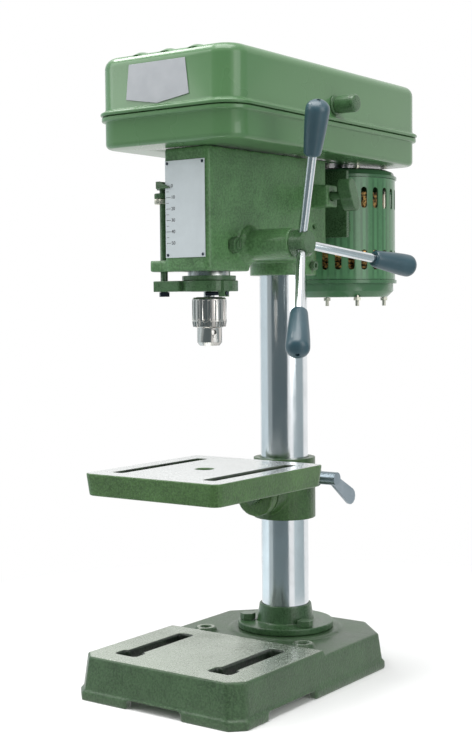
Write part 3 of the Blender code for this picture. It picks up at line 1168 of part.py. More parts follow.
# ---- motor ----
def make_motor():
    """Upright motor: vented shell between two bells, stator, rotor, fan and slide mount."""
    low, high = MOTOR_SHELL_Z
    inside = MOTOR_R - MOTOR_WALL
    shell = tube("motor_shell", "sheet_green", MOTOR_R, inside, low, high, MOTOR_POINT,
                 sides=40)
    for row, (bottom, top) in enumerate(VENT_ROWS):
        bm = bmesh.new()
        for number in range(VENTS // 2):
            angle = math.pi * (number + 0.5) * 2 / VENTS
            turn = Matrix.Rotation(angle, 4, "Z")
            size = Matrix.Diagonal((MOTOR_R * 3, VENT_WIDE, top - bottom, 1))
            at = Matrix.Translation((0, MOTOR_Y, (bottom + top) / 2))
            bmesh.ops.create_cube(bm, size=1, matrix=at @ turn @ size)
        cutter = from_bmesh(bm, f"vents_{row}", None)
        vents = shell.modifiers.new(cutter.name, "BOOLEAN")
        vents.object = cutter
        vents.operation = "DIFFERENCE"
        vents.use_self = True
    bore = SHAFT_R + RUN
    lip = MOTOR_R + BELL_LIP
    wall = MOTOR_R - BELL_WALL
    seat = high + GAP
    under = MOTOR_TOP - BELL_SHEET
    edge_z = MOTOR_TOP - BELL_WALL
    hub_end = seat - BELL_WALL
    top = [
        (bore, MOTOR_TOP), (MOTOR_R - BELL_SHOULDER, MOTOR_TOP),
        (MOTOR_R - BELL_EDGE, MOTOR_TOP - BELL_EDGE), (MOTOR_R, edge_z),
        (lip, edge_z - RUN), (lip, seat), (wall, seat), (wall, under), (BELL_HUB_R, under),
        (BELL_HUB_R, hub_end), (bore, hub_end),
    ]
    top_bell = turned("motor_top_bell", "sheet_green", top, MOTOR_POINT, sides=36,
                      closed=True)
    seat = low - GAP
    floor = MOTOR_BOTTOM + BELL_SHEET
    hub_end = MOTOR_BOTTOM + BELL_HUB_TALL
    edge_z = seat - BELL_LIP_TALL
    foot = MOTOR_R - BELL_FOOT_IN
    bottom = [
        (bore, hub_end), (BELL_HUB_R, hub_end), (BELL_HUB_R, floor), (foot, floor),
        (wall, floor + BELL_SHEET), (wall, seat), (lip, seat), (lip, edge_z),
        (MOTOR_R - BELL_EDGE, edge_z - RUN), (MOTOR_R - BELL_EDGE, MOTOR_BOTTOM + BELL_WALL),
        (foot, MOTOR_BOTTOM), (bore, MOTOR_BOTTOM),
    ]
    bottom_bell = turned("motor_bottom_bell", "sheet_green", bottom, MOTOR_POINT, sides=36,
                         closed=True)
    core = inside - GAP
    inner, outer = STATOR_BORE + WINDING_IN, STUD_INSIDE - WINDING_CLEAR
    stator = [
        (inner, WINDING_Z[1]), (outer, WINDING_Z[1]), (outer, CORE_Z[1]), (core, CORE_Z[1]),
        (core, CORE_Z[0]), (outer, CORE_Z[0]), (outer, WINDING_Z[0]), (inner, WINDING_Z[0]),
        (inner, CORE_Z[0]), (STATOR_BORE, CORE_Z[0]), (STATOR_BORE, CORE_Z[1]),
        (inner, CORE_Z[1]),
    ]
    stator = turned("stator", "copper", stator, MOTOR_POINT, sides=24, closed=True)
    shaft_top = PULLEY_BOTTOM + BELT_STEPS * STEP_TALL
    rotor_r = STATOR_BORE - AIR_GAP
    rotor = [
        (0, shaft_top), (SHAFT_R, shaft_top), (SHAFT_R, CORE_Z[1]), (rotor_r, CORE_Z[1]),
        (rotor_r, CORE_Z[0]), (SHAFT_R, CORE_Z[0]), (SHAFT_R, floor), (0, floor),
    ]
    turned("rotor", "core_steel", rotor, MOTOR_POINT, sides=36)
    fan_r = STUD_INSIDE - FAN_CLEAR
    fan_bottom, fan_top = FAN_Z
    rim_top, sheet_top = fan_bottom + FAN_TALL, fan_bottom + FAN_SHEET
    fan = [
        (fan_r - FAN_RIM, rim_top), (fan_r, rim_top), (fan_r, fan_bottom),
        (SHAFT_R + GAP, fan_bottom), (SHAFT_R + GAP, fan_top), (FAN_HUB_R, fan_top),
        (FAN_HUB_R, sheet_top), (fan_r - FAN_RIM, sheet_top),
    ]
    turned("motor_fan", "aluminium", fan, MOTOR_POINT, sides=16, closed=True)
    make_studs((top_bell, bottom_bell, stator))


def make_studs(drilled):
    """Four long studs that pull the two bells together over the shell."""
    head = MOTOR_TOP + GAP
    nut_top = MOTOR_BOTTOM - GAP
    for number in range(4):
        x, y = ring_point(MOTOR_POINT, STUD_PCR, STUD_FIRST + 90 * number)
        way = rod(f"stud_way_{number}", None, (x, y, 0), (x, y, FAR), STUD_R + GAP, 10)
        for thing in drilled:
            cut(thing, way)
        stud = rod(f"motor_stud_{number + 1}", "zinc", (x, y, STUD_END), (x, y, head + LAP),
                   STUD_R, 10, (x, y, 0))
        join(stud,
             rod(f"stud_head_{number}", None, (x, y, head), (x, y, head + STUD_HEAD_TALL),
                 STUD_HEAD_R, 10),
             outline(f"stud_nut_{number}", None, hexagon(STUD_NUT_FLATS, (x, y)),
                     nut_top - STUD_NUT_TALL, nut_top))


def make_motor_mount():
    """Plate that saddles the motor and rides on two bars in the head; a knob locks them."""
    front, back = MOUNT_PLATE_Y
    plate = box("motor_plate", "cast_green", (-MOUNT_PLATE_HALF, MOUNT_PLATE_HALF),
                MOUNT_PLATE_Y, MOUNT_PLATE_Z)
    bottom, top = MOUNT_PLATE_Z
    for number, low in enumerate((bottom + SADDLE_IN, top - SADDLE_IN - SADDLE_TALL)):
        join(plate, box(f"saddle_{number}", None, (-SADDLE_HALF, SADDLE_HALF),
                        (front + LAP, SADDLE_BACK), (low, low + SADDLE_TALL)))
    cut(plate, rod("saddle_cut", None, (0, MOTOR_Y, 0), (0, MOTOR_Y, FAR), MOTOR_R + GAP,
                   52))
    nut_start = back + GAP
    for name, side in (("slide_bar_left", -1), ("slide_bar_right", 1)):
        x = side * BAR_X
        cut(plate, rod(f"{name}_hole", None, (x, 0, BAR_Z), (x, MOTOR_Y, BAR_Z),
                       BAR_BOLT_R + GAP, 16))
        neck = nut_start - BAR_FRONT
        long = neck + BAR_NUT_TALL
        shoulder = front - GAP - BAR_FRONT
        profile = [
            (0, long), (BAR_NUT_R, long), (BAR_NUT_R, neck), (BAR_BOLT_R, neck),
            (BAR_BOLT_R, shoulder), (BAR_R, shoulder), (BAR_R, BAR_EDGE),
            (BAR_R - BAR_EDGE, 0), (0, 0),
        ]
        turned(name, "ground_steel", profile, (x, BAR_FRONT, BAR_Z), "+Y", 16)
    tip = BAR_X + BAR_R + GAP
    pivot = (0, LOCK_Y, BAR_Z)
    plan = []
    for step in range(LOCK_KNOB_POINTS):
        turn = 360 * step / LOCK_KNOB_POINTS
        wing = abs(math.cos(math.radians(turn))) ** LOCK_WING_POWER
        plan.append(ring_point((LOCK_Y, BAR_Z),
                               LOCK_WAIST_R + (LOCK_WING - LOCK_WAIST_R) * wing,
                               turn + LOCK_WING_LEAN))
    start, end = LOCK_KNOB_X
    knob = outline("motor_lock_knob", "cast_green", plan, start, end, pivot, turn=ACROSS)
    join(knob, rod("lock_screw", None, (tip, LOCK_Y, BAR_Z), (start + LAP, LOCK_Y, BAR_Z),
                   LOCK_SCREW_R, 16))


# ---- table ----
def make_table():
    """Ribbed square table that tilts on a bracket sliding on the column."""
    pivot = (0, 0, TILT_Z)
    bottom = TABLE_TOP - TABLE_SKIRT
    plan = round_plan(TABLE_HALF, TABLE_FRONT, TABLE_BACK, TABLE_CORNER, 3)
    table = outline("table", "cast_green", plan, bottom, TABLE_TOP, pivot)
    centre = (TABLE_FRONT + TABLE_BACK) / 2
    for vert in table.data.vertices:
        if vert.co.z < TABLE_TOP - TILT_Z - LAP:
            vert.co.x -= math.copysign(TABLE_DRAFT, vert.co.x)
            vert.co.y -= math.copysign(TABLE_DRAFT, vert.co.y - centre)
    wall = TABLE_WALL
    cut(table, box("table_hollow", None, (-TABLE_HALF + wall, TABLE_HALF - wall),
                   (TABLE_FRONT + wall, TABLE_BACK - wall * 2), (0, TABLE_TOP - TABLE_THICK)))
    join(table, rod("tilt_disc", None, (0, TILT_DISC_Y[0], TILT_Z),
                    (0, TILT_DISC_Y[1], TILT_Z), TILT_DISC_R, 36))
    for side in (-1, 1):
        x = side * TABLE_SLOT_X
        half = TABLE_SLOT_WIDE / 2
        cut(table, box(f"table_slot_{side}", None, (x - half, x + half), TABLE_SLOT_Y,
                       (bottom, FAR)))
    cut(table,
        rod("table_hole", None, (0, TABLE_HOLE_Y, 0), (0, TABLE_HOLE_Y, FAR),
            TABLE_HOLE_R, 24),
        rod("tilt_bore", None, (0, TABLE_HOLE_Y, TILT_Z), (0, 0, TILT_Z),
            TILT_BOLT_R + RUN, 20))
    low, high = COLLAR_Z
    bracket = rod("table_bracket", "cast_green", (0, 0, low), (0, 0, high), COLLAR_R, 36)
    face = TILT_DISC_Y[1] + GAP
    join(bracket,
         rod("bracket_disc", None, (0, face, TILT_Z), (0, -COLUMN_R, TILT_Z), TILT_DISC_R,
             36),
         rod("lever_boss", None, (COLUMN_R, 0, LEVER_Z), (LEVER_BOSS_END, 0, LEVER_Z),
             LEVER_BOSS_R, 24))
    cut(bracket,
        rod("bracket_bore", None, (0, 0, 0), (0, 0, FAR), COLUMN_R + RUN, 36),
        rod("bolt_way", None, (0, TABLE_FRONT, TILT_Z), (0, 0, TILT_Z), TILT_BOLT_R + GAP,
            20),
        rod("screw_way", None, (0, 0, LEVER_Z), (FAR, 0, LEVER_Z), LEVER_SCREW_R + RUN, 20))
    start = TILT_DISC_Y[0] - GAP
    bolt = rod("table_pivot_bolt", "zinc", (0, start - LAP, TILT_Z),
               (0, -COLUMN_R - RUN * 2, TILT_Z), TILT_BOLT_R, 20)
    join(bolt, outline("pivot_head", None, hexagon(TILT_HEAD_FLATS, (0, TILT_Z), 30),
                       start - TILT_HEAD_TALL, start, turn=UPRIGHT))
    make_lever()


def make_lever():
    """Clamp screw through the collar, turned by a flat pressed lever."""
    start = LEVER_BOSS_END + GAP
    pivot = (0, 0, LEVER_Z)
    lever = rod("table_lever", "black_steel", (start, 0, LEVER_Z),
                (LEVER_HUB_END, 0, LEVER_Z), LEVER_HUB_R, 24, pivot)
    end = Vector(LEVER_REACH)
    way = end.normalized()
    side = Vector((-way.y, way.x))
    tip = end - way * LEVER_TIP_R
    arm = [-side * LEVER_ROOT_HALF]
    for step in range(7):
        angle = math.radians(-90 + 180 * step / 6)
        arm.append(tip + (way * math.cos(angle) + side * math.sin(angle)) * LEVER_TIP_R)
    arm.append(side * LEVER_ROOT_HALF)
    points = [(p.x, p.y + LEVER_Z) for p in arm]
    plate = outline("lever_arm", None, points, *LEVER_ARM_X, turn=ACROSS)
    join(lever, plate,
         rod("lever_screw", None, (COLUMN_R + RUN * 2, 0, LEVER_Z), (start + LAP, 0, LEVER_Z),
             LEVER_SCREW_R, 20))


make_base()
make_column()
make_head()
make_head_fittings()
make_quill()
make_depth_stop()
make_spindle()
make_feed()
make_spring_cap()
make_case()
make_lid()
make_belt_drive()
make_motor()
make_motor_mount()
make_table()
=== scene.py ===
import math

import bmesh
import bpy
from mathutils import Matrix, Vector


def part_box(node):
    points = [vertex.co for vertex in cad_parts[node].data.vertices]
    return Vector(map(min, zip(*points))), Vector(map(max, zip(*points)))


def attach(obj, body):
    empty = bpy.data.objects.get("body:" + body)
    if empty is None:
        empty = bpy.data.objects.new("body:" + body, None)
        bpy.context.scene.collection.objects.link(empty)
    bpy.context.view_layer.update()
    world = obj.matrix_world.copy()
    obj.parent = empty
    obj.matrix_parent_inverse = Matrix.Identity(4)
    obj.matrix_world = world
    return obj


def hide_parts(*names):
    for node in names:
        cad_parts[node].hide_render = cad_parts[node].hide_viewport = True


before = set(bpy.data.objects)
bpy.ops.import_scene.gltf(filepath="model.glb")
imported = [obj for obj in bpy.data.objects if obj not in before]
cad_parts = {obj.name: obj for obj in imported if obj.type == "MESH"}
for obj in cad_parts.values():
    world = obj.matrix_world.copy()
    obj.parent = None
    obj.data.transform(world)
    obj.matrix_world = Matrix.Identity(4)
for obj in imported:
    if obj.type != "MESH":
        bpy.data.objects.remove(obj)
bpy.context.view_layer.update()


# ---- stage ----
# A pale sweep under soft lamps, with a camera a little right of the machine's front.
# Everything is placed from the column, which stands upright in the frame.
def ends(node):
    """The low and high corners of a CAD node."""
    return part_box(node)


def middle(node):
    low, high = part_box(node)
    return (low + high) / 2


column_foot = middle("column")
column_foot.z = 0


def at(x, y, z):
    """A place measured from the column's foot, in metres."""
    return column_foot + Vector((x, y, z))


def aim(x, y, z, azimuth, pitch, roll):
    """The camera's place and turn, from a compass angle, a downward pitch and a roll."""
    turn, dip, lean = (math.radians(angle) for angle in (azimuth, pitch, roll))
    ahead = Vector((-math.sin(turn) * math.cos(dip), math.cos(turn) * math.cos(dip),
                    -math.sin(dip)))
    right = ahead.cross(Vector((0, 0, 1))).normalized()
    up = right.cross(ahead)
    right_leant = right * math.cos(lean) + up * math.sin(lean)
    up_leant = up * math.cos(lean) - right * math.sin(lean)
    pose = Matrix((right_leant, up_leant, -ahead)).transposed().to_4x4()
    pose.translation = at(x, y, z)
    return pose


camera = bpy.data.objects.new("camera", bpy.data.cameras.new("camera"))
bpy.context.scene.collection.objects.link(camera)
camera.data.lens = 63.7
camera.data.shift_x = 0.0007
camera.data.shift_y = 0.0028
camera.matrix_world = aim(0.71235, -1.07165, 0.35045, azimuth=35.702, pitch=3.129, roll=-0.517)
bpy.context.scene.camera = camera
bpy.context.scene.view_settings.view_transform = "Standard"


def lamp(name, place, target, wide, tall, power):
    """A soft box of a width and height in metres, turned to a target."""
    light = bpy.data.lights.new(name, "AREA")
    light.shape = "RECTANGLE"
    light.size, light.size_y = wide, tall
    light.energy = power
    holder = bpy.data.objects.new(name, light)
    bpy.context.scene.collection.objects.link(holder)
    holder.location = at(*place)
    holder.rotation_euler = (at(*target) - at(*place)).to_track_quat("-Z", "Y").to_euler()


lamp("lamp_left", (-1.30, -1.20, 1.10), (0, -0.05, 0.35), 0.9, 1.3, 13)
lamp("lamp_right", (1.50, -0.30, 0.80), (0, 0, 0.35), 0.8, 1.2, 8)
lamp("lamp_top", (0.10, -0.40, 1.70), (0, -0.02, 0.20), 1.2, 1.0, 24)
lamp("lamp_edge", (-0.85, -0.16, 1.60), (0, -0.10, 0.55), 0.6, 0.35, 7)


def node(tree, kind, **values):
    """Adds a shader or geometry node and sets its plain values."""
    made = tree.nodes.new(kind)
    for key, value in values.items():
        setattr(made, key, value)
    return made


def feed(tree, socket, value):
    """Sets an input from a number, a colour or another node's output."""
    if isinstance(value, (int, float)):
        socket.default_value = value
    elif isinstance(value, tuple):
        socket.default_value = (*value, 1)
    else:
        tree.links.new(value, socket)


def math_node(tree, operation, *values, clamp=False):
    made = node(tree, "ShaderNodeMath", operation=operation, use_clamp=clamp)
    for socket, value in zip(made.inputs, values):
        feed(tree, socket, value)
    return made.outputs[0]


def ramp(tree, value, low, high):
    """Spreads the stretch between two values over 0 to 1."""
    made = node(tree, "ShaderNodeMapRange")
    tree.links.new(value, made.inputs["Value"])
    made.inputs["From Min"].default_value = low
    made.inputs["From Max"].default_value = high
    return made.outputs["Result"]


def mixed(tree, share, first, second, end):
    """Sends a mix of two shaders to the tree's end."""
    mix = node(tree, "ShaderNodeMixShader")
    for socket, value in zip(mix.inputs, (share, first.outputs[0], second.outputs[0])):
        tree.links.new(value, socket)
    tree.links.new(mix.outputs[0], node(tree, end).inputs["Surface"])


def plain(name, colour):
    """A matt stage surface of one colour."""
    look = bpy.data.materials.new(name)
    look.use_nodes = True
    shader = look.node_tree.nodes["Principled BSDF"]
    shader.inputs["Base Color"].default_value = (*colour, 1)
    shader.inputs["Roughness"].default_value = 0.9
    return look


SHADOW_REACH, CLEAR_FROM = 0.30, 0.55


def pale_floor(name):
    """Matt white near the machine, where its shadow falls, and clear white beyond."""
    look = bpy.data.materials.new(name)
    look.use_nodes = True
    tree = look.node_tree
    tree.nodes.clear()
    path = node(tree, "ShaderNodeLightPath")
    place = node(tree, "ShaderNodeTexCoord")
    away = node(tree, "ShaderNodeVectorMath", operation="LENGTH")
    tree.links.new(place.outputs["Object"], away.inputs[0])
    mirrored = math_node(tree, "MAXIMUM", path.outputs["Is Glossy Ray"],
                         path.outputs["Is Transmission Ray"])
    clear = math_node(tree, "MAXIMUM", mirrored,
                      ramp(tree, away.outputs["Value"], SHADOW_REACH, CLEAR_FROM))
    matt = node(tree, "ShaderNodeBsdfDiffuse")
    matt.inputs["Color"].default_value = (0.95, 0.95, 0.95, 1)
    mixed(tree, clear, matt, node(tree, "ShaderNodeEmission"), "ShaderNodeOutputMaterial")
    return look


def stage_piece(name, bm, look):
    """A piece of the set, which isn't part of the machine."""
    mesh = bpy.data.meshes.new(name)
    bm.to_mesh(mesh)
    bm.free()
    mesh.materials.append(look)
    piece = bpy.data.objects.new(name, mesh)
    bpy.context.scene.collection.objects.link(piece)
    return piece


FLOOR_REACH = 6
sheet = bmesh.new()
bmesh.ops.create_grid(sheet, x_segments=1, y_segments=1, size=FLOOR_REACH)
stage_piece("floor", sheet, pale_floor("floor"))


DRAPE_HEM, DRAPE_REACH, DRAPE_TALL, DRAPE_FOLDS = 0.28, 1.9, 1.7, 18


def drape(name, first, last, colour):
    """A cloth round the set between two compass angles, seen only in glossy surfaces."""
    bm = bmesh.new()
    rows = []
    for step in range(DRAPE_FOLDS + 1):
        angle = math.radians(first + (last - first) * step / DRAPE_FOLDS)
        rows.append([bm.verts.new(at(far * math.sin(angle), -far * math.cos(angle), z))
                     for far, z in ((DRAPE_HEM, 0.001), (DRAPE_REACH, 0.002),
                                    (DRAPE_REACH, DRAPE_TALL))])
    for row, following in zip(rows, rows[1:]):
        for k in (0, 1):
            bm.faces.new((row[k], following[k], following[k + 1], row[k + 1]))
    cloth = stage_piece(name, bm, plain(name, colour))
    cloth.visible_camera = False
    cloth.visible_diffuse = False
    cloth.visible_shadow = False


drape("dark_drape", -26, 52, (0.075, 0.105, 0.115))
drape("grey_drape", 78, 140, (0.34, 0.40, 0.42))
drape("dim_drape", -50, -26, (0.28, 0.32, 0.33))
drape("pale_drape", -110, -50, (0.62, 0.71, 0.75))

world = bpy.data.worlds.new("studio")
bpy.context.scene.world = world
world.use_nodes = True
sky = world.node_tree
sky.nodes.clear()
sky_path = node(sky, "ShaderNodeLightPath")
seen_or_mirrored = math_node(sky, "ADD", sky_path.outputs["Is Camera Ray"],
                             sky_path.outputs["Is Glossy Ray"])
shown = math_node(sky, "ADD", seen_or_mirrored, sky_path.outputs["Is Transmission Ray"])
sky_fill = node(sky, "ShaderNodeBackground")
sky_clear = node(sky, "ShaderNodeBackground")
for background, strength in ((sky_fill, 0.45), (sky_clear, 1.0)):
    background.inputs["Color"].default_value = (1, 1, 1, 1)
    background.inputs["Strength"].default_value = strength
mixed(sky, shown, sky_fill, sky_clear, "ShaderNodeOutputWorld")


# ---- base ----
# A hollow grey-iron casting, painted green while its skin is still rough from the sand.
# The front pad and its slots are machined after painting, so bare iron shows there.
def group(name, inputs, outputs):
    """A shader node group with named number inputs, their defaults, and named outputs."""
    tree = bpy.data.node_groups.new(name, "ShaderNodeTree")
    for label, default in inputs.items():
        socket = tree.interface.new_socket(label, in_out="INPUT",
                                           socket_type="NodeSocketFloat")
        socket.default_value = default
    for label in outputs:
        tree.interface.new_socket(label, in_out="OUTPUT", socket_type="NodeSocketFloat")
    return tree, node(tree, "NodeGroupInput"), node(tree, "NodeGroupOutput")


def noise_node(tree, scale, detail, roughness=0.5, stretch=(1, 1, 1)):
    """Noise on object coordinates, which can be stretched along an axis."""
    place = node(tree, "ShaderNodeTexCoord")
    spread = node(tree, "ShaderNodeMapping")
    spread.inputs["Scale"].default_value = stretch
    tree.links.new(place.outputs["Object"], spread.inputs["Vector"])
    made = node(tree, "ShaderNodeTexNoise")
    made.inputs["Detail"].default_value = detail
    made.inputs["Roughness"].default_value = roughness
    feed(tree, made.inputs["Scale"], scale)
    tree.links.new(spread.outputs[0], made.inputs["Vector"])
    return made.outputs["Fac"]


def blend_colour(tree, share, first, second):
    made = node(tree, "ShaderNodeMix", data_type="RGBA")
    for socket, value in ((0, share), (6, first), (7, second)):
        feed(tree, made.inputs[socket], value)
    return made.outputs[2]


def shaded(colour, factor):
    """A lighter or darker tone of a colour."""
    return tuple(part * factor for part in colour)


def make_sand_skin():
    """Sand-cast skin: fine pimples on slow swells, as a height, and a mask of mottling with painted
    glints on the raised grain.
    """
    tree, given, made = group("sand_skin", {"Grain": 700.0}, ("Height", "MottleAndGlint"))
    fine = noise_node(tree, given.outputs["Grain"], 3.0, 0.6)
    swell = noise_node(tree, 70.0, 2.0)
    tree.links.new(math_node(tree, "ADD", fine, math_node(tree, "MULTIPLY", swell, 0.8)),
                   made.inputs["Height"])
    cloud = ramp(tree, noise_node(tree, 25.0, 4.0, 0.65), 0.35, 0.65)
    # The bright speckle follows the raised grain of the height: painted glints where the lamps catch
    # it.
    glint_speckle = ramp(tree, fine, 0.38, 0.62)
    both = math_node(tree, "ADD", math_node(tree, "MULTIPLY", cloud, 0.45),
                     math_node(tree, "MULTIPLY", glint_speckle, 0.55))
    tree.links.new(both, made.inputs["MottleAndGlint"])
    return tree


def make_edge_wear():
    """Sharp edges, broken up by noise: where a casting's corner has lost its paint, and where
    enamelled sheet gets a painted highlight.
    """
    tree, given, made = group("wear_and_sheen_edges", {"Reach": 0.56}, ("WearAndSheen",))
    shape = node(tree, "ShaderNodeNewGeometry")
    broken = math_node(tree, "MULTIPLY", noise_node(tree, 260.0, 4.0, 0.7), 0.10)
    edge = math_node(tree, "ADD", shape.outputs["Pointiness"], broken)
    past = math_node(tree, "SUBTRACT", edge, given.outputs["Reach"])
    tree.links.new(math_node(tree, "MULTIPLY", past, 14.0, clamp=True), made.inputs["WearAndSheen"])
    return tree


SAND_SKIN = make_sand_skin()
WEAR_AND_SHEEN_EDGES = make_edge_wear()


def use(tree, shared, **values):
    """Adds a shared group and sets its numbers."""
    made = node(tree, "ShaderNodeGroup", node_tree=shared)
    for key, value in values.items():
        made.inputs[key].default_value = value
    return made


def start_finish(name, roughness, metallic, **constants):
    """A material with its Principled shader's constants set."""
    look = bpy.data.materials.new(name)
    look.use_nodes = True
    shader = look.node_tree.nodes["Principled BSDF"]
    shader.inputs["Roughness"].default_value = roughness
    shader.inputs["Metallic"].default_value = metallic
    for key, value in constants.items():
        shader.inputs[key.replace("_", " ")].default_value = value
    return look, look.node_tree, shader


def bump(tree, shader, height, distance):
    made = node(tree, "ShaderNodeBump")
    made.inputs["Distance"].default_value = distance
    made.inputs["Strength"].default_value = 1.0
    tree.links.new(height, made.inputs["Height"])
    tree.links.new(made.outputs[0], shader.inputs["Normal"])


CAST_WORN_ABOVE = 0.60
PRIMER = (0.16, 0.19, 0.15)


def cast_paint(name, colour, grain, depth, roughness):
    """Green enamel straight on a sand-cast skin with painted glints on its grain, rubbed through to
    grey primer at the corners.
    """
    look, tree, shader = start_finish(name, roughness, 0.0, Coat_Weight=0.25,
                                      Coat_Roughness=0.15, Specular_IOR_Level=0.3)
    skin = use(tree, SAND_SKIN, Grain=grain)
    wear_and_sheen = use(tree, WEAR_AND_SHEEN_EDGES, Reach=CAST_WORN_ABOVE)
    paint = blend_colour(tree, skin.outputs["MottleAndGlint"], shaded(colour, 0.60),
                         shaded(colour, 1.32))
    chipped = blend_colour(tree, wear_and_sheen.outputs["WearAndSheen"], paint, PRIMER)
    tree.links.new(chipped, shader.inputs["Base Color"])
    gloss = math_node(tree, "MULTIPLY", skin.outputs["MottleAndGlint"], 0.16)
    tree.links.new(math_node(tree, "ADD", gloss, roughness - 0.08),
                   shader.inputs["Roughness"])
    bump(tree, shader, skin.outputs["Height"], depth)
    return look


def coordinate(tree, kind):
    """The X, Y and Z of each point's own place or normal."""
    place = node(tree, "ShaderNodeTexCoord")
    split = node(tree, "ShaderNodeSeparateXYZ")
    tree.links.new(place.outputs[kind], split.inputs[0])
    return split.outputs


def make_slot_grime():
    """Painted shade inside two slots that run front to back, patchy with noise."""
    tree, given, made = group("painted_slot_shade", {"Middle": 0.0, "Spread": 0.05, "Half": 0.008,
                                             "Front": 0.0, "Back": 0.0}, ("PaintedShade",))
    place = coordinate(tree, "Object")
    aside = math_node(tree, "ABSOLUTE",
                      math_node(tree, "SUBTRACT", place["X"], given.outputs["Middle"]))
    from_slot = math_node(tree, "ABSOLUTE",
                          math_node(tree, "SUBTRACT", aside, given.outputs["Spread"]))
    across = math_node(tree, "LESS_THAN", from_slot, given.outputs["Half"])
    past = math_node(tree, "GREATER_THAN", place["Y"], given.outputs["Front"])
    short = math_node(tree, "LESS_THAN", place["Y"], given.outputs["Back"])
    inside = math_node(tree, "MULTIPLY", across, math_node(tree, "MULTIPLY", past, short))
    patchy = math_node(tree, "ADD", noise_node(tree, 180.0, 3.0), 0.35, clamp=True)
    tree.links.new(math_node(tree, "MULTIPLY", inside, patchy), made.inputs["PaintedShade"])
    return tree


SLOT_SHADE = make_slot_grime()
CUT_BAND = 0.0006
SLOT_SHADE_TONE = (0.006, 0.010, 0.007)
REAR_DARK_TONE = (0.075, 0.110, 0.060)


def machined_face(look, casting, steel, rear_darkening, spread, half, front, back):
    """Bare cut iron on a casting's top, with painted shade down two slots beside the middle."""
    tree = look.node_tree
    shader = tree.nodes["Principled BSDF"]
    place = coordinate(tree, "Object")
    facing = coordinate(tree, "Normal")
    height = ends(casting)[1].z - CUT_BAND
    above = ramp(tree, place["Z"], height - CUT_BAND / 2, height)
    flat = ramp(tree, facing["Z"], 0.93, 0.98)
    bare = math_node(tree, "MULTIPLY", above, flat)
    paint = shader.inputs["Base Color"].links[0].from_socket
    gloss = shader.inputs["Roughness"].links[0].from_socket
    # The slots' walls and floors are painted dark: painted shade where the light hardly reaches.
    slot_shade_mask = use(tree, SLOT_SHADE, Middle=column_foot.x, Spread=spread, Half=half,
                Front=column_foot.y + front, Back=column_foot.y + back)
    slot_shaded = blend_colour(tree, slot_shade_mask.outputs["PaintedShade"], paint, SLOT_SHADE_TONE)
    marks = noise_node(tree, 420.0, 3.0, 0.6, (0.06, 1, 1))
    cut_metal = blend_colour(tree, marks, shaded(steel, 0.82), steel)
    # The cut metal turns darker towards the rear, in noisy clouds, by the given share.
    rearward = ramp(tree, place["Y"], column_foot.y + front, column_foot.y + back + 0.05)
    rear_clouds = math_node(tree, "MULTIPLY", rearward,
                       ramp(tree, noise_node(tree, 14.0, 4.0), 0.30, 0.62))
    rear_darkened = blend_colour(tree, math_node(tree, "MULTIPLY", rear_clouds, rear_darkening), cut_metal, REAR_DARK_TONE)
    tree.links.new(blend_colour(tree, bare, slot_shaded, rear_darkened), shader.inputs["Base Color"])
    tree.links.new(math_node(tree, "MULTIPLY", bare, 0.75), shader.inputs["Metallic"])
    smooth = math_node(tree, "MULTIPLY", bare, 0.16)
    tree.links.new(math_node(tree, "SUBTRACT", gloss, smooth), shader.inputs["Roughness"])
    return look


def settle(piece, body, slot, *nodes):
    """Gives a finished piece its body and hides the CAD nodes it stands for. Its record slot is not
    used.
    """
    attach(piece, body)
    if nodes:
        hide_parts(*nodes)
    return piece


def apply_modifiers(piece):
    """Turns a piece with modifiers into the plain mesh that they make."""
    bpy.context.view_layer.update()
    graph = bpy.context.evaluated_depsgraph_get()
    mesh = bpy.data.meshes.new_from_object(piece.evaluated_get(graph))
    piece.modifiers.clear()
    piece.data = mesh
    return piece


def add_piece(name, bm, look, smooth=35):
    """A mesh object with one material, smooth except at edges sharper than an angle."""
    mesh = bpy.data.meshes.new(name)
    bm.to_mesh(mesh)
    bm.free()
    mesh.shade_smooth()
    mesh.set_sharp_from_angle(angle=math.radians(smooth))
    piece = bpy.data.objects.new(name, mesh)
    bpy.context.scene.collection.objects.link(piece)
    mesh.materials.append(look)
    return piece


def boolean(piece, other, operation):
    """Joins a shape to a piece or cuts it away, and removes the shape."""
    step = piece.modifiers.new("join", "BOOLEAN")
    step.operation = operation
    step.solver = "EXACT"
    step.object = other
    apply_modifiers(piece)
    bpy.data.objects.remove(other)
    return piece


WELD = 0.00001


def cast_copy(name, source, look, grid, rounds, cutters=()):
    """A casting's skin: the solid's shape with every corner rounded as sand leaves it."""
    bm = bmesh.new()
    bm.from_mesh(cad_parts[source].data)
    bmesh.ops.remove_doubles(bm, verts=bm.verts, dist=WELD)
    piece = add_piece(name, bm, look)
    for cutter in cutters:
        boolean(piece, cutter, "DIFFERENCE")
    piece.data.materials.clear()
    remesh = piece.modifiers.new("skin", "REMESH")
    remesh.mode = "VOXEL"
    remesh.voxel_size = grid
    remesh.use_smooth_shade = True
    soften = piece.modifiers.new("soften", "SMOOTH")
    soften.iterations = rounds
    soften.factor = 0.5
    apply_modifiers(piece)
    piece.data.materials.append(look)
    piece.data.shade_smooth()
    return piece


base_look = machined_face(
    cast_paint("green_cast_base", (0.044, 0.090, 0.040), grain=500.0, depth=0.00075,
               roughness=0.40),
    "base", steel=(0.48, 0.55, 0.45), rear_darkening=0.75, spread=0.0520, half=0.0125, front=-0.1815,
    back=-0.0895)
settle(cast_copy("base_skin", "base", base_look, grid=0.0014, rounds=3), "frame", "cast_green", "base")


# ---- column and flange ----
# A drawn steel tube, polished lengthwise, stands in a cast flange that three painted
# hex bolts hold to the base's round pad.
SHARE_OF_SIDE = 0.45


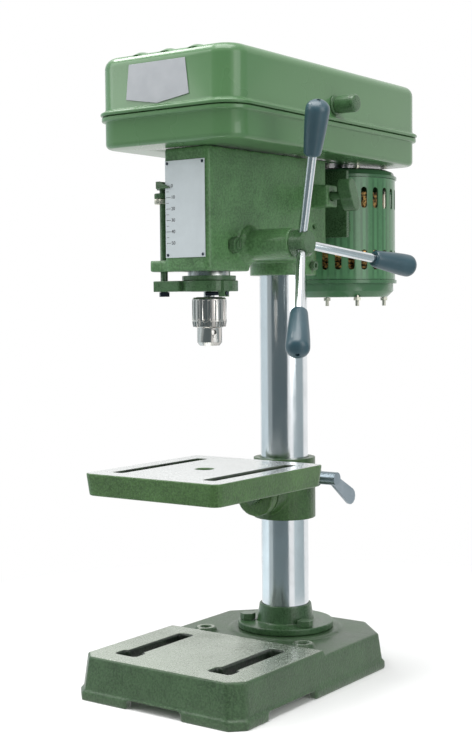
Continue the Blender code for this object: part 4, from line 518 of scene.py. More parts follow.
def fillet(profile, radius, closed=False, steps=3):
    """Rounds a profile's corners, never past a share of either side beside them."""
    count = len(profile)
    rounded = []
    for k, point in enumerate(profile):
        here = Vector(point)
        if not closed and k in (0, count - 1):
            rounded.append(here)
            continue
        before = Vector(profile[k - 1]) - here
        after = Vector(profile[(k + 1) % count]) - here
        reach = min(radius, before.length * SHARE_OF_SIDE,
                    after.length * SHARE_OF_SIDE)
        start = here + before.normalized() * reach
        end = here + after.normalized() * reach
        for step in range(steps + 1):
            share = step / steps
            rounded.append(start * (1 - share) ** 2 + here * 2 * share * (1 - share)
                           + end * share ** 2)
    return rounded


def turned(name, profile, look, place, axis=(0, 0, 1), steps=72, shape=None, closed=False):
    """A profile of (radius, height) turned about an axis; shape may change the radius."""
    bm = bmesh.new()
    turn = Vector((0, 0, 1)).rotation_difference(Vector(axis)).to_matrix().to_4x4()
    pose = Matrix.Translation(place) @ turn
    rings = []
    for radius, height in profile:
        if radius < 1e-6:
            rings.append([bm.verts.new(pose @ Vector((0, 0, height)))])
            continue
        ring = []
        for step in range(steps):
            angle = 2 * math.pi * step / steps
            reach = shape(angle, radius, height) if shape else radius
            ring.append(bm.verts.new(pose @ Vector((reach * math.cos(angle),
                                                    reach * math.sin(angle), height))))
        rings.append(ring)
    pairs = list(zip(rings, rings[1:]))
    if closed:
        pairs.append((rings[-1], rings[0]))
    for upper, lower in pairs:
        for step in range(steps):
            following = (step + 1) % steps
            corners = [upper[step % len(upper)], upper[following % len(upper)],
                       lower[following % len(lower)], lower[step % len(lower)]]
            unique = list(dict.fromkeys(corners))
            if len(unique) > 2:
                bm.faces.new(unique)
    bmesh.ops.recalc_face_normals(bm, faces=bm.faces)
    return add_piece(name, bm, look)


def make_brushing():
    """Fine polishing lines drawn out along one axis, as a height and a smear mask."""
    tree, given, made = group("brushing", {"Lines": 900.0}, ("Height", "Smear"))
    lines = noise_node(tree, given.outputs["Lines"], 3.0, 0.6, (1, 1, 0.02))
    tree.links.new(lines, made.inputs["Height"])
    tree.links.new(ramp(tree, noise_node(tree, 35.0, 4.0, 0.6), 0.35, 0.75),
                   made.inputs["Smear"])
    return tree


BRUSHING = make_brushing()


def bright_metal(name, colour, roughness, lines, depth=0.00002, metallic=1.0):
    """Bare metal with polishing lines and faint oily smears in its gloss."""
    look, tree, shader = start_finish(name, roughness, metallic)
    polish = use(tree, BRUSHING, Lines=lines)
    dull = shaded(colour, 0.86)
    tone = blend_colour(tree, polish.outputs["Smear"], colour, dull)
    tree.links.new(blend_colour(tree, math_node(tree, "MULTIPLY", polish.outputs["Height"],
                                                0.35), tone, dull),
                   shader.inputs["Base Color"])
    smear = math_node(tree, "MULTIPLY", polish.outputs["Smear"], 0.12)
    tree.links.new(math_node(tree, "ADD", smear, roughness), shader.inputs["Roughness"])
    bump(tree, shader, polish.outputs["Height"], depth)
    return look


POLISHED = bright_metal("polished_steel", (0.78, 0.81, 0.83), roughness=0.13, lines=900.0)
column_low, column_high = ends("column")
column_r = (column_high.x - column_low.x) / 2
TUBE_WALL = 0.004
tube_bore = column_r - TUBE_WALL
column_profile = [(tube_bore, column_high.z), (column_r, column_high.z),
                  (column_r, column_low.z), (tube_bore, column_low.z)]
settle(turned("column_tube", column_profile, POLISHED, column_foot, steps=96, closed=True),
       "frame", "chrome", "column")
FINE_CAST = cast_paint("green_cast_fine", (0.048, 0.110, 0.046), grain=760.0, depth=0.00022,
                       roughness=0.32)
settle(cast_copy("flange_skin", "column_flange", FINE_CAST, grid=0.0008, rounds=3), "frame",
       "cast_green", "column_flange")


def soft_copy(name, source, look, width, segments=2, smooth=35):
    """A small part's own solid with its sharp edges broken."""
    bm = bmesh.new()
    bm.from_mesh(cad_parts[source].data)
    bmesh.ops.remove_doubles(bm, verts=bm.verts, dist=WELD)
    bmesh.ops.dissolve_limit(bm, angle_limit=0.01, verts=bm.verts, edges=bm.edges)
    piece = add_piece(name, bm, look, smooth)
    edge = piece.modifiers.new("edge", "BEVEL")
    edge.width = width
    edge.segments = segments
    edge.limit_method = "ANGLE"
    edge.angle_limit = math.radians(32)
    edge.harden_normals = True
    return apply_modifiers(piece)


for number in (1, 2, 3):
    bolt = f"flange_bolt_{number}"
    settle(soft_copy(f"{bolt}_head", bolt, FINE_CAST, 0.0005), "frame", "black_steel", bolt)


# ---- table ----
# A cast table with a machined top, which tilts on a bracket clamped round the column.
# A pressed steel lever turns the clamp screw.
table_look = machined_face(
    cast_paint("green_cast_table", (0.056, 0.125, 0.036), grain=560.0, depth=0.00060,
               roughness=0.38),
    "table", steel=(0.78, 0.81, 0.80), rear_darkening=0.12, spread=0.0500, half=0.0068, front=-0.1915,
    back=-0.0645)
settle(cast_copy("table_skin", "table", table_look, grid=0.0011, rounds=3), "table",
       "cast_green", "table")
bracket_look = cast_paint("green_cast", (0.038, 0.092, 0.026), grain=560.0, depth=0.00060,
                          roughness=0.40)
settle(cast_copy("bracket_skin", "table_bracket", bracket_look, grid=0.0008, rounds=3), "bracket",
       "cast_green", "table_bracket")
settle(soft_copy("pivot_bolt_body", "table_pivot_bolt", FINE_CAST, 0.0005), "bracket",
       "zinc", "table_pivot_bolt")
LEVER_STEEL = bright_metal("lever_steel", (0.30, 0.36, 0.40), roughness=0.30, lines=300.0,
                           depth=0.00004)
settle(soft_copy("lever_body", "table_lever", LEVER_STEEL, 0.0006), "lever", "black_steel",
       "table_lever")


# ---- head ----
# One casting holds the quill, the feed shaft and the slide bars, and clamps the column.
# A bare aluminium plate on its front carries the depth scale.
head_look = cast_paint("green_cast_head", (0.074, 0.172, 0.066), grain=500.0, depth=0.00070,
                       roughness=0.38)


def bar_room(bar, slack, travel):
    """A rod round a slide bar, with slack on its radius and room for the bar's travel."""
    low, high = ends(bar)
    centre = (low + high) / 2
    bm = bmesh.new()
    radius = (high.x - low.x) / 2 + slack
    bmesh.ops.create_cone(bm, cap_ends=True, segments=32, radius1=radius, radius2=radius,
                          depth=high.y - low.y + travel)
    for vert in bm.verts:
        vert.co = Vector((centre.x + vert.co.x, centre.y - travel / 2 + vert.co.z,
                          centre.z - vert.co.y))
    return add_piece(f"{bar}_room", bm, head_look)


bar_rooms = [bar_room(bar, slack=0.0008, travel=0.0150)
             for bar in ("slide_bar_left", "slide_bar_right")]
settle(cast_copy("head_skin", "head_casting", head_look, grid=0.0013, rounds=2,
                 cutters=bar_rooms), "frame", "cast_green", "head_casting")
for name, source, width, slot in (
        ("spring_cap_shell", "spring_cap", 0.0008, "cast_green"),
        ("guide_screw_body", "quill_guide_screw", 0.0004, "zinc"),
        ("clamp_screw_body", "head_clamp_screw", 0.0004, "black_steel")):
    settle(soft_copy(name, source, FINE_CAST, width), "frame", slot, source)
SATIN = bright_metal("satin_aluminium", (0.55, 0.60, 0.62), roughness=0.40, lines=600.0,
                     metallic=0.35)
settle(soft_copy("scale_plate_sheet", "scale_plate", SATIN, 0.0002), "frame", "aluminium",
       "scale_plate")
plate_low, plate_high = ends("scale_plate")
INK, ink_tree, ink_shader = start_finish("scale_ink", 0.5, 0.0)
ink_tree.links.new(blend_colour(ink_tree, noise_node(ink_tree, 2500.0, 2.0),
                                (0.015, 0.015, 0.018), (0.04, 0.04, 0.045)),
                   ink_shader.inputs["Base Color"])


def repeat(name, shape, look, places):
    """Copies one small shape to a list of places with a node tree, as one plain mesh."""
    tree = bpy.data.node_groups.new(name, "GeometryNodeTree")
    tree.interface.new_socket("Places", in_out="INPUT", socket_type="NodeSocketGeometry")
    inputs = {}
    for label, kind in (("Shape", "NodeSocketObject"), ("Finish", "NodeSocketMaterial")):
        made = tree.interface.new_socket(label, in_out="INPUT", socket_type=kind)
        inputs[label] = made.identifier
    tree.interface.new_socket("Copies", in_out="OUTPUT", socket_type="NodeSocketGeometry")
    given = node(tree, "NodeGroupInput")
    points = node(tree, "GeometryNodeMeshToPoints")
    info = node(tree, "GeometryNodeObjectInfo")
    copies = node(tree, "GeometryNodeInstanceOnPoints")
    real = node(tree, "GeometryNodeRealizeInstances")
    finish = node(tree, "GeometryNodeSetMaterial")
    out = node(tree, "NodeGroupOutput")
    for start, end in ((given.outputs["Places"], points.inputs["Mesh"]),
                       (given.outputs["Shape"], info.inputs["Object"]),
                       (points.outputs["Points"], copies.inputs["Points"]),
                       (info.outputs["Geometry"], copies.inputs["Instance"]),
                       (copies.outputs["Instances"], real.inputs["Geometry"]),
                       (real.outputs["Geometry"], finish.inputs["Geometry"]),
                       (given.outputs["Finish"], finish.inputs["Material"]),
                       (finish.outputs["Geometry"], out.inputs["Copies"])):
        tree.links.new(start, end)
    mesh = bpy.data.meshes.new(name)
    mesh.from_pydata([tuple(place) for place in places], [], [])
    piece = bpy.data.objects.new(name, mesh)
    bpy.context.scene.collection.objects.link(piece)
    copier = piece.modifiers.new("copies", "NODES")
    copier.node_group = tree
    copier[inputs["Shape"]] = shape
    copier[inputs["Finish"]] = look
    apply_modifiers(piece)
    bpy.data.objects.remove(shape)
    return piece


def block(name, look, low, high):
    """A box between two corners."""
    bm = bmesh.new()
    bmesh.ops.create_cube(bm, size=1, matrix=Matrix.Translation((Vector(low) + Vector(high)) / 2)
                          @ Matrix.Diagonal((*(Vector(high) - Vector(low)), 1)))
    return add_piece(name, bm, look)


MARK, FIGURE_TALL, MARK_STEP, SCALE_END = 0.00018, 0.0042, 5, 50
FIGURE_THICK = MARK / 2
MM = 0.001
scale_top = at(0, 0, 0.4547).z
mark_left = plate_low.x + 0.0012
figure_left = plate_low.x + 0.0066
mark_front = plate_low.y - 0.00012
for step, name, long in ((MARK_STEP, "fine_marks", 0.0028),
                         (MARK_STEP * 2, "long_marks", 0.0048)):
    mark = block(f"{name}_shape", INK, (0, 0, -MARK), (long, MARK, MARK))
    places = [(mark_left, mark_front, scale_top - depth * MM)
              for depth in range(0, SCALE_END + 1, step)]
    settle(repeat(name, mark, INK, places), "frame", "aluminium")
for depth in range(0, SCALE_END + 1, MARK_STEP * 2):
    text = bpy.data.curves.new(f"depth_{depth}", "FONT")
    text.body = str(depth)
    text.size = FIGURE_TALL
    text.extrude = FIGURE_THICK
    text.align_x, text.align_y = "LEFT", "CENTER"
    writing = bpy.data.objects.new(f"depth_{depth}", text)
    bpy.context.scene.collection.objects.link(writing)
    graph = bpy.context.evaluated_depsgraph_get()
    mesh = bpy.data.meshes.new_from_object(writing.evaluated_get(graph))
    bpy.data.objects.remove(writing)
    upright = Matrix.Translation((figure_left, mark_front + FIGURE_THICK,
                                  scale_top - depth * MM))
    mesh.transform(upright @ Matrix.Rotation(math.pi / 2, 4, "X"))
    mesh.materials.clear()
    mesh.materials.append(INK)
    figure = bpy.data.objects.new(f"depth_{depth}", mesh)
    bpy.context.scene.collection.objects.link(figure)
    settle(figure, "frame", "aluminium")
BLACKENED = bright_metal("blackened_steel", (0.055, 0.065, 0.085), roughness=0.34, lines=500.0,
                         depth=0.00003)
rivet = turned("rivet_shape", [(0, 0.0009), (0.0007, 0.0008), (0.0012, 0.0004), (0.0014, 0),
                               (0, 0)], BLACKENED, Vector(), (0, -1, 0), 16)
RIVET_INSET = 0.0024
corners = [(x, plate_low.y, z) for x in (plate_low.x + RIVET_INSET, plate_high.x - RIVET_INSET)
           for z in (plate_low.z + RIVET_INSET, plate_high.z - RIVET_INSET)]
settle(repeat("plate_rivets", rivet, BLACKENED, corners), "frame", "aluminium")


# ---- quill and depth stop ----
# A ground steel sleeve slides in the head. A cast ring clamped round it carries the
# depth rod, whose thin nuts meet the ear on the head.
def paint_below(piece, look, height):
    """Gives the faces under a height another finish."""
    piece.data.materials.append(look)
    for face in piece.data.polygons:
        if face.center.z < height:
            face.material_index = len(piece.data.materials) - 1
    return piece


GROUND = bright_metal("ground_steel", (0.60, 0.61, 0.60), roughness=0.24, lines=500.0)
head_foot = ends("head_casting")[0].z
settle(paint_below(soft_copy("quill_sleeve", "quill", GROUND, 0.0002), FINE_CAST, head_foot),
       "quill", "ground_steel", "quill")
settle(cast_copy("clamp_ring_skin", "quill_clamp", FINE_CAST, grid=0.0005, rounds=2), "quill",
       "cast_green", "quill_clamp")
settle(soft_copy("pointer_body", "scale_pointer", FINE_CAST, 0.0003), "quill",
       "cast_green", "scale_pointer")
settle(soft_copy("ring_screw_body", "quill_clamp_screw", BLACKENED, 0.0003), "quill",
       "black_steel", "quill_clamp_screw")
ring_foot = ends("quill_clamp")[0].z + 0.005
settle(paint_below(soft_copy("depth_rod_body", "depth_rod", FINE_CAST, 0.0003), BLACKENED,
                   ring_foot), "quill", "black_steel", "depth_rod")


KNURLS, KNURL_DEPTH = 36, 0.00025


def knurled(angle, radius, _height):
    """Fine ridges round a nut, the same at every height."""
    return radius - KNURL_DEPTH * (1 + math.cos(angle * KNURLS)) / 2


ZINC = bright_metal("zinc_plate", (0.62, 0.60, 0.50), roughness=0.32, lines=400.0)
THREAD_SHARE = 0.8
rod_low, rod_high = ends("depth_rod")
bore = (rod_high.x - rod_low.x) / 2 * THREAD_SHARE
for name, look in (("stop_nut_lower", ZINC), ("stop_nut_upper", FINE_CAST)):
    nut_low, nut_high = ends(name)
    tall = nut_high.z - nut_low.z
    outer = (nut_high.x - nut_low.x) / 2
    ring = fillet([(bore, tall), (outer, tall), (outer, 0), (bore, 0)], 0.0007, True)
    place = Vector((middle(name).x, middle(name).y, nut_low.z))
    settle(turned(f"{name}_ring", ring, look, place, steps=144, shape=knurled, closed=True),
           "depth_stop", "zinc", name)


# ---- chuck ----
# A key chuck: a fluted outer sleeve with a bevel gear cut in its lower edge, on a
# polished body with three key holes and three hardened jaws.
CHUCK_BODY = bright_metal("chuck_polish", (0.60, 0.58, 0.55), roughness=0.18, lines=700.0,
                          depth=0.00001)
body_low, body_high = ends("chuck_body")
sleeve_low, sleeve_high = ends("chuck_sleeve")
sleeve_r = (sleeve_high.x - sleeve_low.x) / 2
core_r = (body_high.x - body_low.x) / 2 + 0.0003
sleeve_tall = sleeve_high.z - sleeve_low.z
GEAR_TALL, GEAR_TEETH, TOOTH_DEPTH = 0.0048, 30, 0.0010
FLUTES, FLUTE_DEPTH = 20, 0.0007


def fluted(angle, radius, height):
    """Grooves run down the sleeve, and gear teeth are cut below them."""
    if radius < sleeve_r - 0.0016:
        return radius
    if height < GEAR_TALL:
        tooth = 0.5 + 1.6 * math.cos(angle * GEAR_TEETH)
        return radius - TOOTH_DEPTH * max(0.0, min(1.0, tooth))
    if height > sleeve_tall - 0.0024 or height < GEAR_TALL + 0.0012:
        return radius
    flute = 0.3 + 1.8 * math.cos(angle * FLUTES)
    return radius - FLUTE_DEPTH * max(0.0, min(1.0, flute))


sleeve_profile = [
    (core_r, sleeve_tall), (sleeve_r - 0.0013, sleeve_tall), (sleeve_r, sleeve_tall - 0.0016),
    (sleeve_r, sleeve_tall - 0.0023), (sleeve_r, sleeve_tall - 0.0028),
    (sleeve_r, GEAR_TALL + 0.0016), (sleeve_r, GEAR_TALL + 0.0011),
    (sleeve_r, GEAR_TALL + 0.0002), (sleeve_r, GEAR_TALL - 0.0002),
    (sleeve_r - 0.0007, 0.0002), (core_r, 0.0),
]
settle(turned("chuck_sleeve_ring", sleeve_profile, CHUCK_BODY,
              Vector((middle("chuck_sleeve").x, middle("chuck_sleeve").y, sleeve_low.z)),
              steps=360, shape=fluted, closed=True),
       "chuck_sleeve", "chuck_steel", "chuck_sleeve")
settle(soft_copy("chuck_body_turned", "chuck_body", CHUCK_BODY, 0.0003), "spindle",
       "chuck_steel", "chuck_body")
for number in (1, 2, 3):
    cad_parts[f"chuck_jaw_{number}"].material_slots[0].material = BLACKENED
for name in ("spindle", "sleeve_bearing", "pinion_shaft", "slide_bar_left",
             "slide_bar_right"):
    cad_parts[name].material_slots[0].material = GROUND


# ---- feed ----
# Three polished spokes screw into a turned hub on the pinion shaft. Their knobs are
# moulded plastic with a fine grained skin.
settle(soft_copy("feed_hub_turned", "feed_hub", FINE_CAST, 0.0006), "feed", "cast_green",
       "feed_hub")
MOULDED, mould_tree, mould_shader = start_finish("moulded_plastic", 0.36, 0.0,
                                                 Coat_Weight=0.15)
mould_grain = noise_node(mould_tree, 1600.0, 2.0, 0.6)
mould_cloud = ramp(mould_tree, noise_node(mould_tree, 60.0, 3.0), 0.15, 0.85)
mould_tree.links.new(blend_colour(mould_tree, mould_cloud, (0.016, 0.048, 0.064),
                                  (0.030, 0.074, 0.094)),
                     mould_shader.inputs["Base Color"])
mould_tree.links.new(math_node(mould_tree, "ADD",
                               math_node(mould_tree, "MULTIPLY", mould_grain, 0.2), 0.28),
                     mould_shader.inputs["Roughness"])
bump(mould_tree, mould_shader, mould_grain, 0.00008)
SPOKE_R, SPOKE_FROM, SPOKE_TO = 0.0040, 0.0098, 0.0938
GRIP_FROM, GRIP_LONG, GRIP_NECK, GRIP_R, GRIP_BORE = 0.0820, 0.0480, 0.0073, 0.0102, 0.0043
spoke_root = middle("pinion_shaft")
spoke_root.x = at(0.0830, 0, 0).x
for number in (1, 2, 3):
    way = (middle(f"feed_spoke_{number}") - spoke_root).normalized()
    grip_profile = [(0, GRIP_LONG - 0.0016), (0.0016, GRIP_LONG - 0.0016),
                    (0.0018, GRIP_LONG - 0.0002)]
    for angle in range(10, 100, 10):
        turn = math.radians(angle)
        grip_profile.append((GRIP_R * math.sin(turn),
                             GRIP_LONG - GRIP_R * 0.8 * (1 - math.cos(turn))))
    grip_profile += [(GRIP_R * wide, GRIP_LONG * along)
                     for wide, along in ((1, 0.78), (0.985, 0.68), (0.93, 0.5), (0.84, 0.28))]
    grip_profile += [(GRIP_NECK + 0.0003, 0.0022), (GRIP_NECK, 0.0010),
                     (GRIP_NECK - 0.0008, 0.0002), (GRIP_BORE, 0), (GRIP_BORE, 0.012),
                     (0, 0.012)]
    settle(turned(f"feed_knob_{number}_grip", grip_profile, MOULDED,
                  spoke_root + way * GRIP_FROM, way, 64), "feed", "knob_plastic",
           f"feed_knob_{number}")
    spoke_profile = fillet([(0, SPOKE_TO), (SPOKE_R, SPOKE_TO), (SPOKE_R, SPOKE_FROM),
                            (0, SPOKE_FROM)], 0.0005)
    settle(turned(f"feed_spoke_{number}_bar", spoke_profile, POLISHED, spoke_root, way, 40),
           "feed", "chrome", f"feed_spoke_{number}")


# ---- belt case and lid ----
# Two deep pressings of thin steel sheet, sprayed with smooth enamel. The lid's lower
# edge is beaded and laps the case; long swages stiffen its top.
SHEET_SHEEN_ABOVE = 0.62


def sheet_paint(name, colour):
    """Smooth sprayed enamel: faint orange peel, slow colour drift and a painted highlight on sharp
    edges.
    """
    look, tree, shader = start_finish(name, 0.26, 0.0, Coat_Weight=0.35,
                                      Coat_Roughness=0.10, Specular_IOR_Level=0.25)
    drift = ramp(tree, noise_node(tree, 14.0, 3.0), 0.05, 0.95)
    paint = blend_colour(tree, drift, shaded(colour, 0.93), shaded(colour, 1.06))
    # Sharp edges take a lighter copy of the green: a painted highlight.
    wear_and_sheen = use(tree, WEAR_AND_SHEEN_EDGES, Reach=SHEET_SHEEN_ABOVE)
    tree.links.new(blend_colour(tree, wear_and_sheen.outputs["WearAndSheen"], paint, shaded(colour, 1.5)),
                   shader.inputs["Base Color"])
    peel = noise_node(tree, 420.0, 2.0)
    tree.links.new(math_node(tree, "ADD", math_node(tree, "MULTIPLY", drift, 0.08), 0.24),
                   shader.inputs["Roughness"])
    bump(tree, shader, peel, 0.00003)
    return look


SHEET_GREEN = sheet_paint("green_enamel", (0.074, 0.168, 0.070))


def plan_ring(half, front, back, radius, height, steps=10):
    """One level of a pressing: a rectangle with round corners."""
    ring = []
    corners = ((half - radius, front + radius, -90), (half - radius, back - radius, 0),
               (-half + radius, back - radius, 90), (-half + radius, front + radius, 180))
    for x, y, first in corners:
        for step in range(steps + 1):
            angle = math.radians(first + 90 * step / steps)
            ring.append(at(x + radius * math.cos(angle), y + radius * math.sin(angle),
                           height))
    return ring


def skinned(name, outlines, look, smooth=35):
    """A closed piece through outlines that all have the same number of points."""
    bm = bmesh.new()
    rings = [[bm.verts.new(point) for point in outline] for outline in outlines]
    for upper, lower in zip(rings, rings[1:]):
        for k in range(len(upper)):
            after = (k + 1) % len(upper)
            bm.faces.new((upper[k], upper[after], lower[after], lower[k]))
    bm.faces.new(rings[0])
    bm.faces.new(rings[-1])
    bmesh.ops.recalc_face_normals(bm, faces=bm.faces)
    return add_piece(name, bm, look, smooth)


def pressing(name, levels, look):
    """A closed skin through levels of (outset, height), from the outside in and back."""
    rings = [plan_ring(CASE_HALF + outset, CASE_FRONT - outset, CASE_BACK + outset,
                       max(CASE_CORNER + outset, 0.002), height) for outset, height in levels]
    return skinned(name, rings, look, 40)


lid_low, lid_high = ends("lid")
case_low, case_high = ends("belt_case")
RIM_OUT = 0.0045
CASE_HALF = (lid_high.x - lid_low.x) / 2 - RIM_OUT
CASE_FRONT = lid_low.y - column_foot.y + RIM_OUT
CASE_BACK = lid_high.y - column_foot.y - RIM_OUT
CASE_CORNER = 0.0220
WALL = 0.0016
lid_top = lid_high.z - 0.0022
LID_EDGE = 0.0095
FLAT_FROM = -0.030


def arc(outset, height, radius, first, last, steps=6):
    """Part of a circle in outset and height, in degrees."""
    return [(outset + radius * math.cos(math.radians(first + (last - first) * k / steps)),
             height + radius * math.sin(math.radians(first + (last - first) * k / steps)))
            for k in range(steps + 1)]


bead_z, bead_r = lid_low.z + 0.0019, 0.0017
lid_levels = [(FLAT_FROM, lid_top)] + arc(-LID_EDGE, lid_top - LID_EDGE, LID_EDGE, 90, 0)
lid_levels += [(0, bead_z + 0.0046), (0.0006, bead_z + 0.0030)]
lid_levels += arc(RIM_OUT - bead_r, bead_z, bead_r, 80, -90)
lid_levels += [(-WALL, lid_low.z + 0.0002), (-WALL, lid_top - LID_EDGE)]
lid_levels += arc(-LID_EDGE, lid_top - LID_EDGE, LID_EDGE - WALL, 0, 90)
lid_levels += [(FLAT_FROM, lid_top - WALL)]
lid = pressing("lid_pressing", lid_levels, SHEET_GREEN)


def swage(name, x, half, front, back, top, depth):
    """A long rounded ridge pressed up in the lid's top."""
    rings = []
    for outset, height in ((0.0015, top - 0.0010), (0, top), (-half * 0.45, top + depth * 0.8),
                           (-half * 0.75, top + depth)):
        reach = half + outset
        rings.append([at(x + reach * math.cos(math.radians(first + 15 * step)),
                         centre + reach * math.sin(math.radians(first + 15 * step)), height)
                      for centre, first in ((front + half, 180), (back - half, 0))
                      for step in range(13)])
    return skinned(name, rings, SHEET_GREEN)


for x in (-0.030, 0, 0.030):
    boolean(lid, swage("swage", x, half=0.0078, front=-0.1795, back=0.0895, top=lid_top,
                       depth=0.0020), "UNION")
lid.data.shade_smooth()
lid.data.set_sharp_from_angle(angle=math.radians(40))
settle(lid, "lid", "sheet_green", "lid")

CASE_EDGE = 0.0045
floor_in = case_low.z + WALL
case_levels = [(FLAT_FROM, floor_in), (-WALL - 0.003, floor_in), (-WALL - 0.001, floor_in + 0.001),
               (-WALL, floor_in + 0.003), (-WALL, case_high.z - 0.0003)]
case_levels += [(outset, case_high.z - drop) for outset, drop in (
    (0.0028, 0.0003), (0.0034, 0.0009), (0.0034, 0.0033), (0.0028, 0.0040), (0.0006, 0.0046),
    (0, 0.0056))]
case_levels += arc(-CASE_EDGE, case_low.z + CASE_EDGE, CASE_EDGE, 0, -90)
case_levels += [(FLAT_FROM, case_low.z)]
case = pressing("case_pressing", case_levels, SHEET_GREEN)
spindle_line = middle("spindle")
motor_line = middle("motor_shell")
SLEEVE_HOLE_R, SHAFT_SLOT_R, MOTOR_TRAVEL, PUNCH_REACH = 0.0150, 0.0110, 0.0120, 0.01
holes = [(SLEEVE_HOLE_R, spindle_line.x, spindle_line.y)]
holes += [(SHAFT_SLOT_R, motor_line.x, motor_line.y - MOTOR_TRAVEL * share)
          for share in (0, 0.5, 1)]
hole_low, hole_high = case_low.z - PUNCH_REACH, case_low.z + PUNCH_REACH
for radius, x, y in holes:
    punch = [(0, hole_high), (radius, hole_high), (radius, hole_low), (0, hole_low)]
    boolean(case, turned("punch", punch, SHEET_GREEN, Vector((x, y, 0))), "DIFFERENCE")
settle(case, "frame", "sheet_green", "belt_case")
knob_low, knob_high = ends("lid_knob")
knob_long = knob_high.x - knob_low.x
KNOB_R = 0.0080
knob_profile = fillet([(0, knob_long), (KNOB_R - 0.0012, knob_long), (KNOB_R, knob_long - 0.0016),
                       (KNOB_R, 0.0032), (KNOB_R - 0.0010, 0.0022), (KNOB_R + 0.0011, 0.0016),
                       (KNOB_R + 0.0013, 0), (0, 0)], 0.0006)
settle(turned("lid_knob_turned", knob_profile, FINE_CAST,
              Vector((knob_low.x, middle("lid_knob").y, middle("lid_knob").z)), (1, 0, 0), 56),
       "lid", "cast_green", "lid_knob")
BADGE_LOOK, badge_tree, badge_shader = start_finish("bare_badge", 0.34, 0.0)
badge_haze = ramp(badge_tree, noise_node(badge_tree, 90.0, 3.0), 0.15, 0.85)
badge_tree.links.new(blend_colour(badge_tree, badge_haze, (0.30, 0.32, 0.34),
                                  (0.36, 0.38, 0.40)), badge_shader.inputs["Base Color"])
bump(badge_tree, badge_shader, noise_node(badge_tree, 900.0, 2.0), 0.00001)
settle(soft_copy("badge_plate", "lid_badge", BADGE_LOOK, 0.00015), "lid", "aluminium",
       "lid_badge")
for name, body in (("case_hinge_leaf", "frame"), ("lid_hinge_leaf", "lid")):
    settle(soft_copy(f"{name}_plate", name, ZINC, 0.0002), body, "zinc", name)


# ---- pulleys and belt ----
# Two cast aluminium cone pulleys, turned and left bright, joined by one black V-belt.
TURNED_ALUMINIUM = bright_metal("turned_aluminium", (0.70, 0.71, 0.72), roughness=0.28,
                                lines=700.0, depth=0.00003)
for name in ("spindle_pulley", "motor_pulley", "motor_fan"):
    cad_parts[name].material_slots[0].material = TURNED_ALUMINIUM
BELT, belt_tree, belt_shader = start_finish("belt_rubber", 0.7, 0.0)
weave = noise_node(belt_tree, 1500.0, 3.0)
belt_tree.links.new(blend_colour(belt_tree, weave, (0.012, 0.012, 0.013),
                                 (0.035, 0.034, 0.033)), belt_shader.inputs["Base Color"])
bump(belt_tree, belt_shader, weave, 0.00012)
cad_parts["drive_belt"].material_slots[0].material = BELT


# ---- motor ----
# An upright induction motor: a rolled shell with two rings of slots over the copper
# windings, a bell at each end, and four long studs that draw them together.
MOTOR_GREEN = sheet_paint("motor_enamel", (0.050, 0.134, 0.062))
shell_low, shell_high = ends("motor_shell")
shell_r = (shell_high.x - shell_low.x) / 2
shell_foot = Vector((motor_line.x, motor_line.y, shell_low.z))
shell_tall = shell_high.z - shell_low.z
VENTS, VENT_HALF, VENT_REACH = 26, 0.0032, 0.006
VENT_ROWS = ((0.3840, 0.4040), (0.4450, 0.4660))
SHELL_WALL = 0.0014
shell_bore = shell_r - SHELL_WALL
shell = turned("motor_shell_wall", [(shell_bore, shell_tall), (shell_r, shell_tall),
                                    (shell_r, 0), (shell_bore, 0)],
               MOTOR_GREEN, shell_foot, steps=156, closed=True)


def vent_cutter(angle, low, high):
    """One slot with round ends, standing across the shell's wall."""
    spin = Matrix.Translation((motor_line.x, motor_line.y, 0)) @ Matrix.Rotation(angle, 4, "Z")
    outline = [(VENT_HALF * math.cos(math.radians(first + 22.5 * step)),
                centre + VENT_HALF * math.sin(math.radians(first + 22.5 * step)))
               for centre, first in ((high - VENT_HALF, 0), (low + VENT_HALF, 180))
               for step in range(9)]
    return skinned("vent", [[spin @ Vector((reach, x, z)) for x, z in outline]
                            for reach in (shell_r - VENT_REACH, shell_r + VENT_REACH)],
                   MOTOR_GREEN)


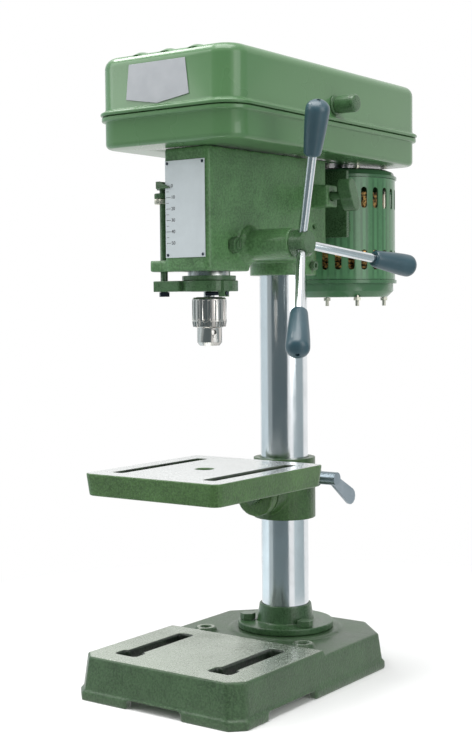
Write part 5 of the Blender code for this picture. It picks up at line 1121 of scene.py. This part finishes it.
slots = [vent_cutter(math.pi * 2 * (k + 0.5) / VENTS, low, high) for low, high in VENT_ROWS
         for k in range(VENTS)]
joined = bmesh.new()
for slot in slots:
    joined.from_mesh(slot.data)
    bpy.data.objects.remove(slot)
boolean(shell, add_piece("vents", joined, MOTOR_GREEN), "DIFFERENCE")
# The shell's wall is shaded as one round surface, and the slots' sides as flat ones.
FACES_OUT = 0.9
aimed = []
for face in shell.data.polygons:
    for corner in face.loop_indices:
        spot = shell.data.vertices[shell.data.loops[corner].vertex_index].co
        outward = Vector((spot.x - motor_line.x, spot.y - motor_line.y, 0)).normalized()
        along = face.normal.dot(outward)
        round_wall = abs(along) > FACES_OUT
        aimed.append(math.copysign(1, along) * outward if round_wall else face.normal)
shell.data.shade_smooth()
shell.data.normals_split_custom_set([tuple(normal) for normal in aimed])
settle(shell, "motor", "sheet_green", "motor_shell")
for name in ("motor_top_bell", "motor_bottom_bell"):
    settle(soft_copy(f"{name}_pressing", name, MOTOR_GREEN, 0.0006, 2, 30), "motor",
           "sheet_green", name)
COPPER, copper_tree, copper_shader = start_finish("lacquered_copper", 0.3, 0.85)
# The windings are painted near-black with bright copper patches: painted shade inside the shell and
# painted glints on the wire.
wire_and_glint = ramp(copper_tree, noise_node(copper_tree, 260.0, 3.0, 0.6, (1, 1, 1.6)), 0.42, 0.62)
copper_tree.links.new(blend_colour(copper_tree, wire_and_glint, (0.030, 0.022, 0.010),
                                   (0.95, 0.56, 0.20)), copper_shader.inputs["Base Color"])
bump(copper_tree, copper_shader, wire_and_glint, 0.0004)
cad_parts["stator"].material_slots[0].material = COPPER
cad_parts["rotor"].material_slots[0].material = GROUND
for number in (1, 2, 3, 4):
    stud = f"motor_stud_{number}"
    settle(soft_copy(f"{stud}_bar", stud, ZINC, 0.0003), "motor", "zinc", stud)
settle(cast_copy("motor_plate_skin", "motor_plate", FINE_CAST, grid=0.0008, rounds=2), "motor",
       "cast_green", "motor_plate")


# ---- motor lock knob ----
# A cast knob with two wings, painted green, on the screw that pinches the right slide
# bar in the head's lug.
settle(cast_copy("lock_knob_skin", "motor_lock_knob", FINE_CAST, grid=0.0006, rounds=3), "motor_lock",
       "cast_green", "motor_lock_knob")
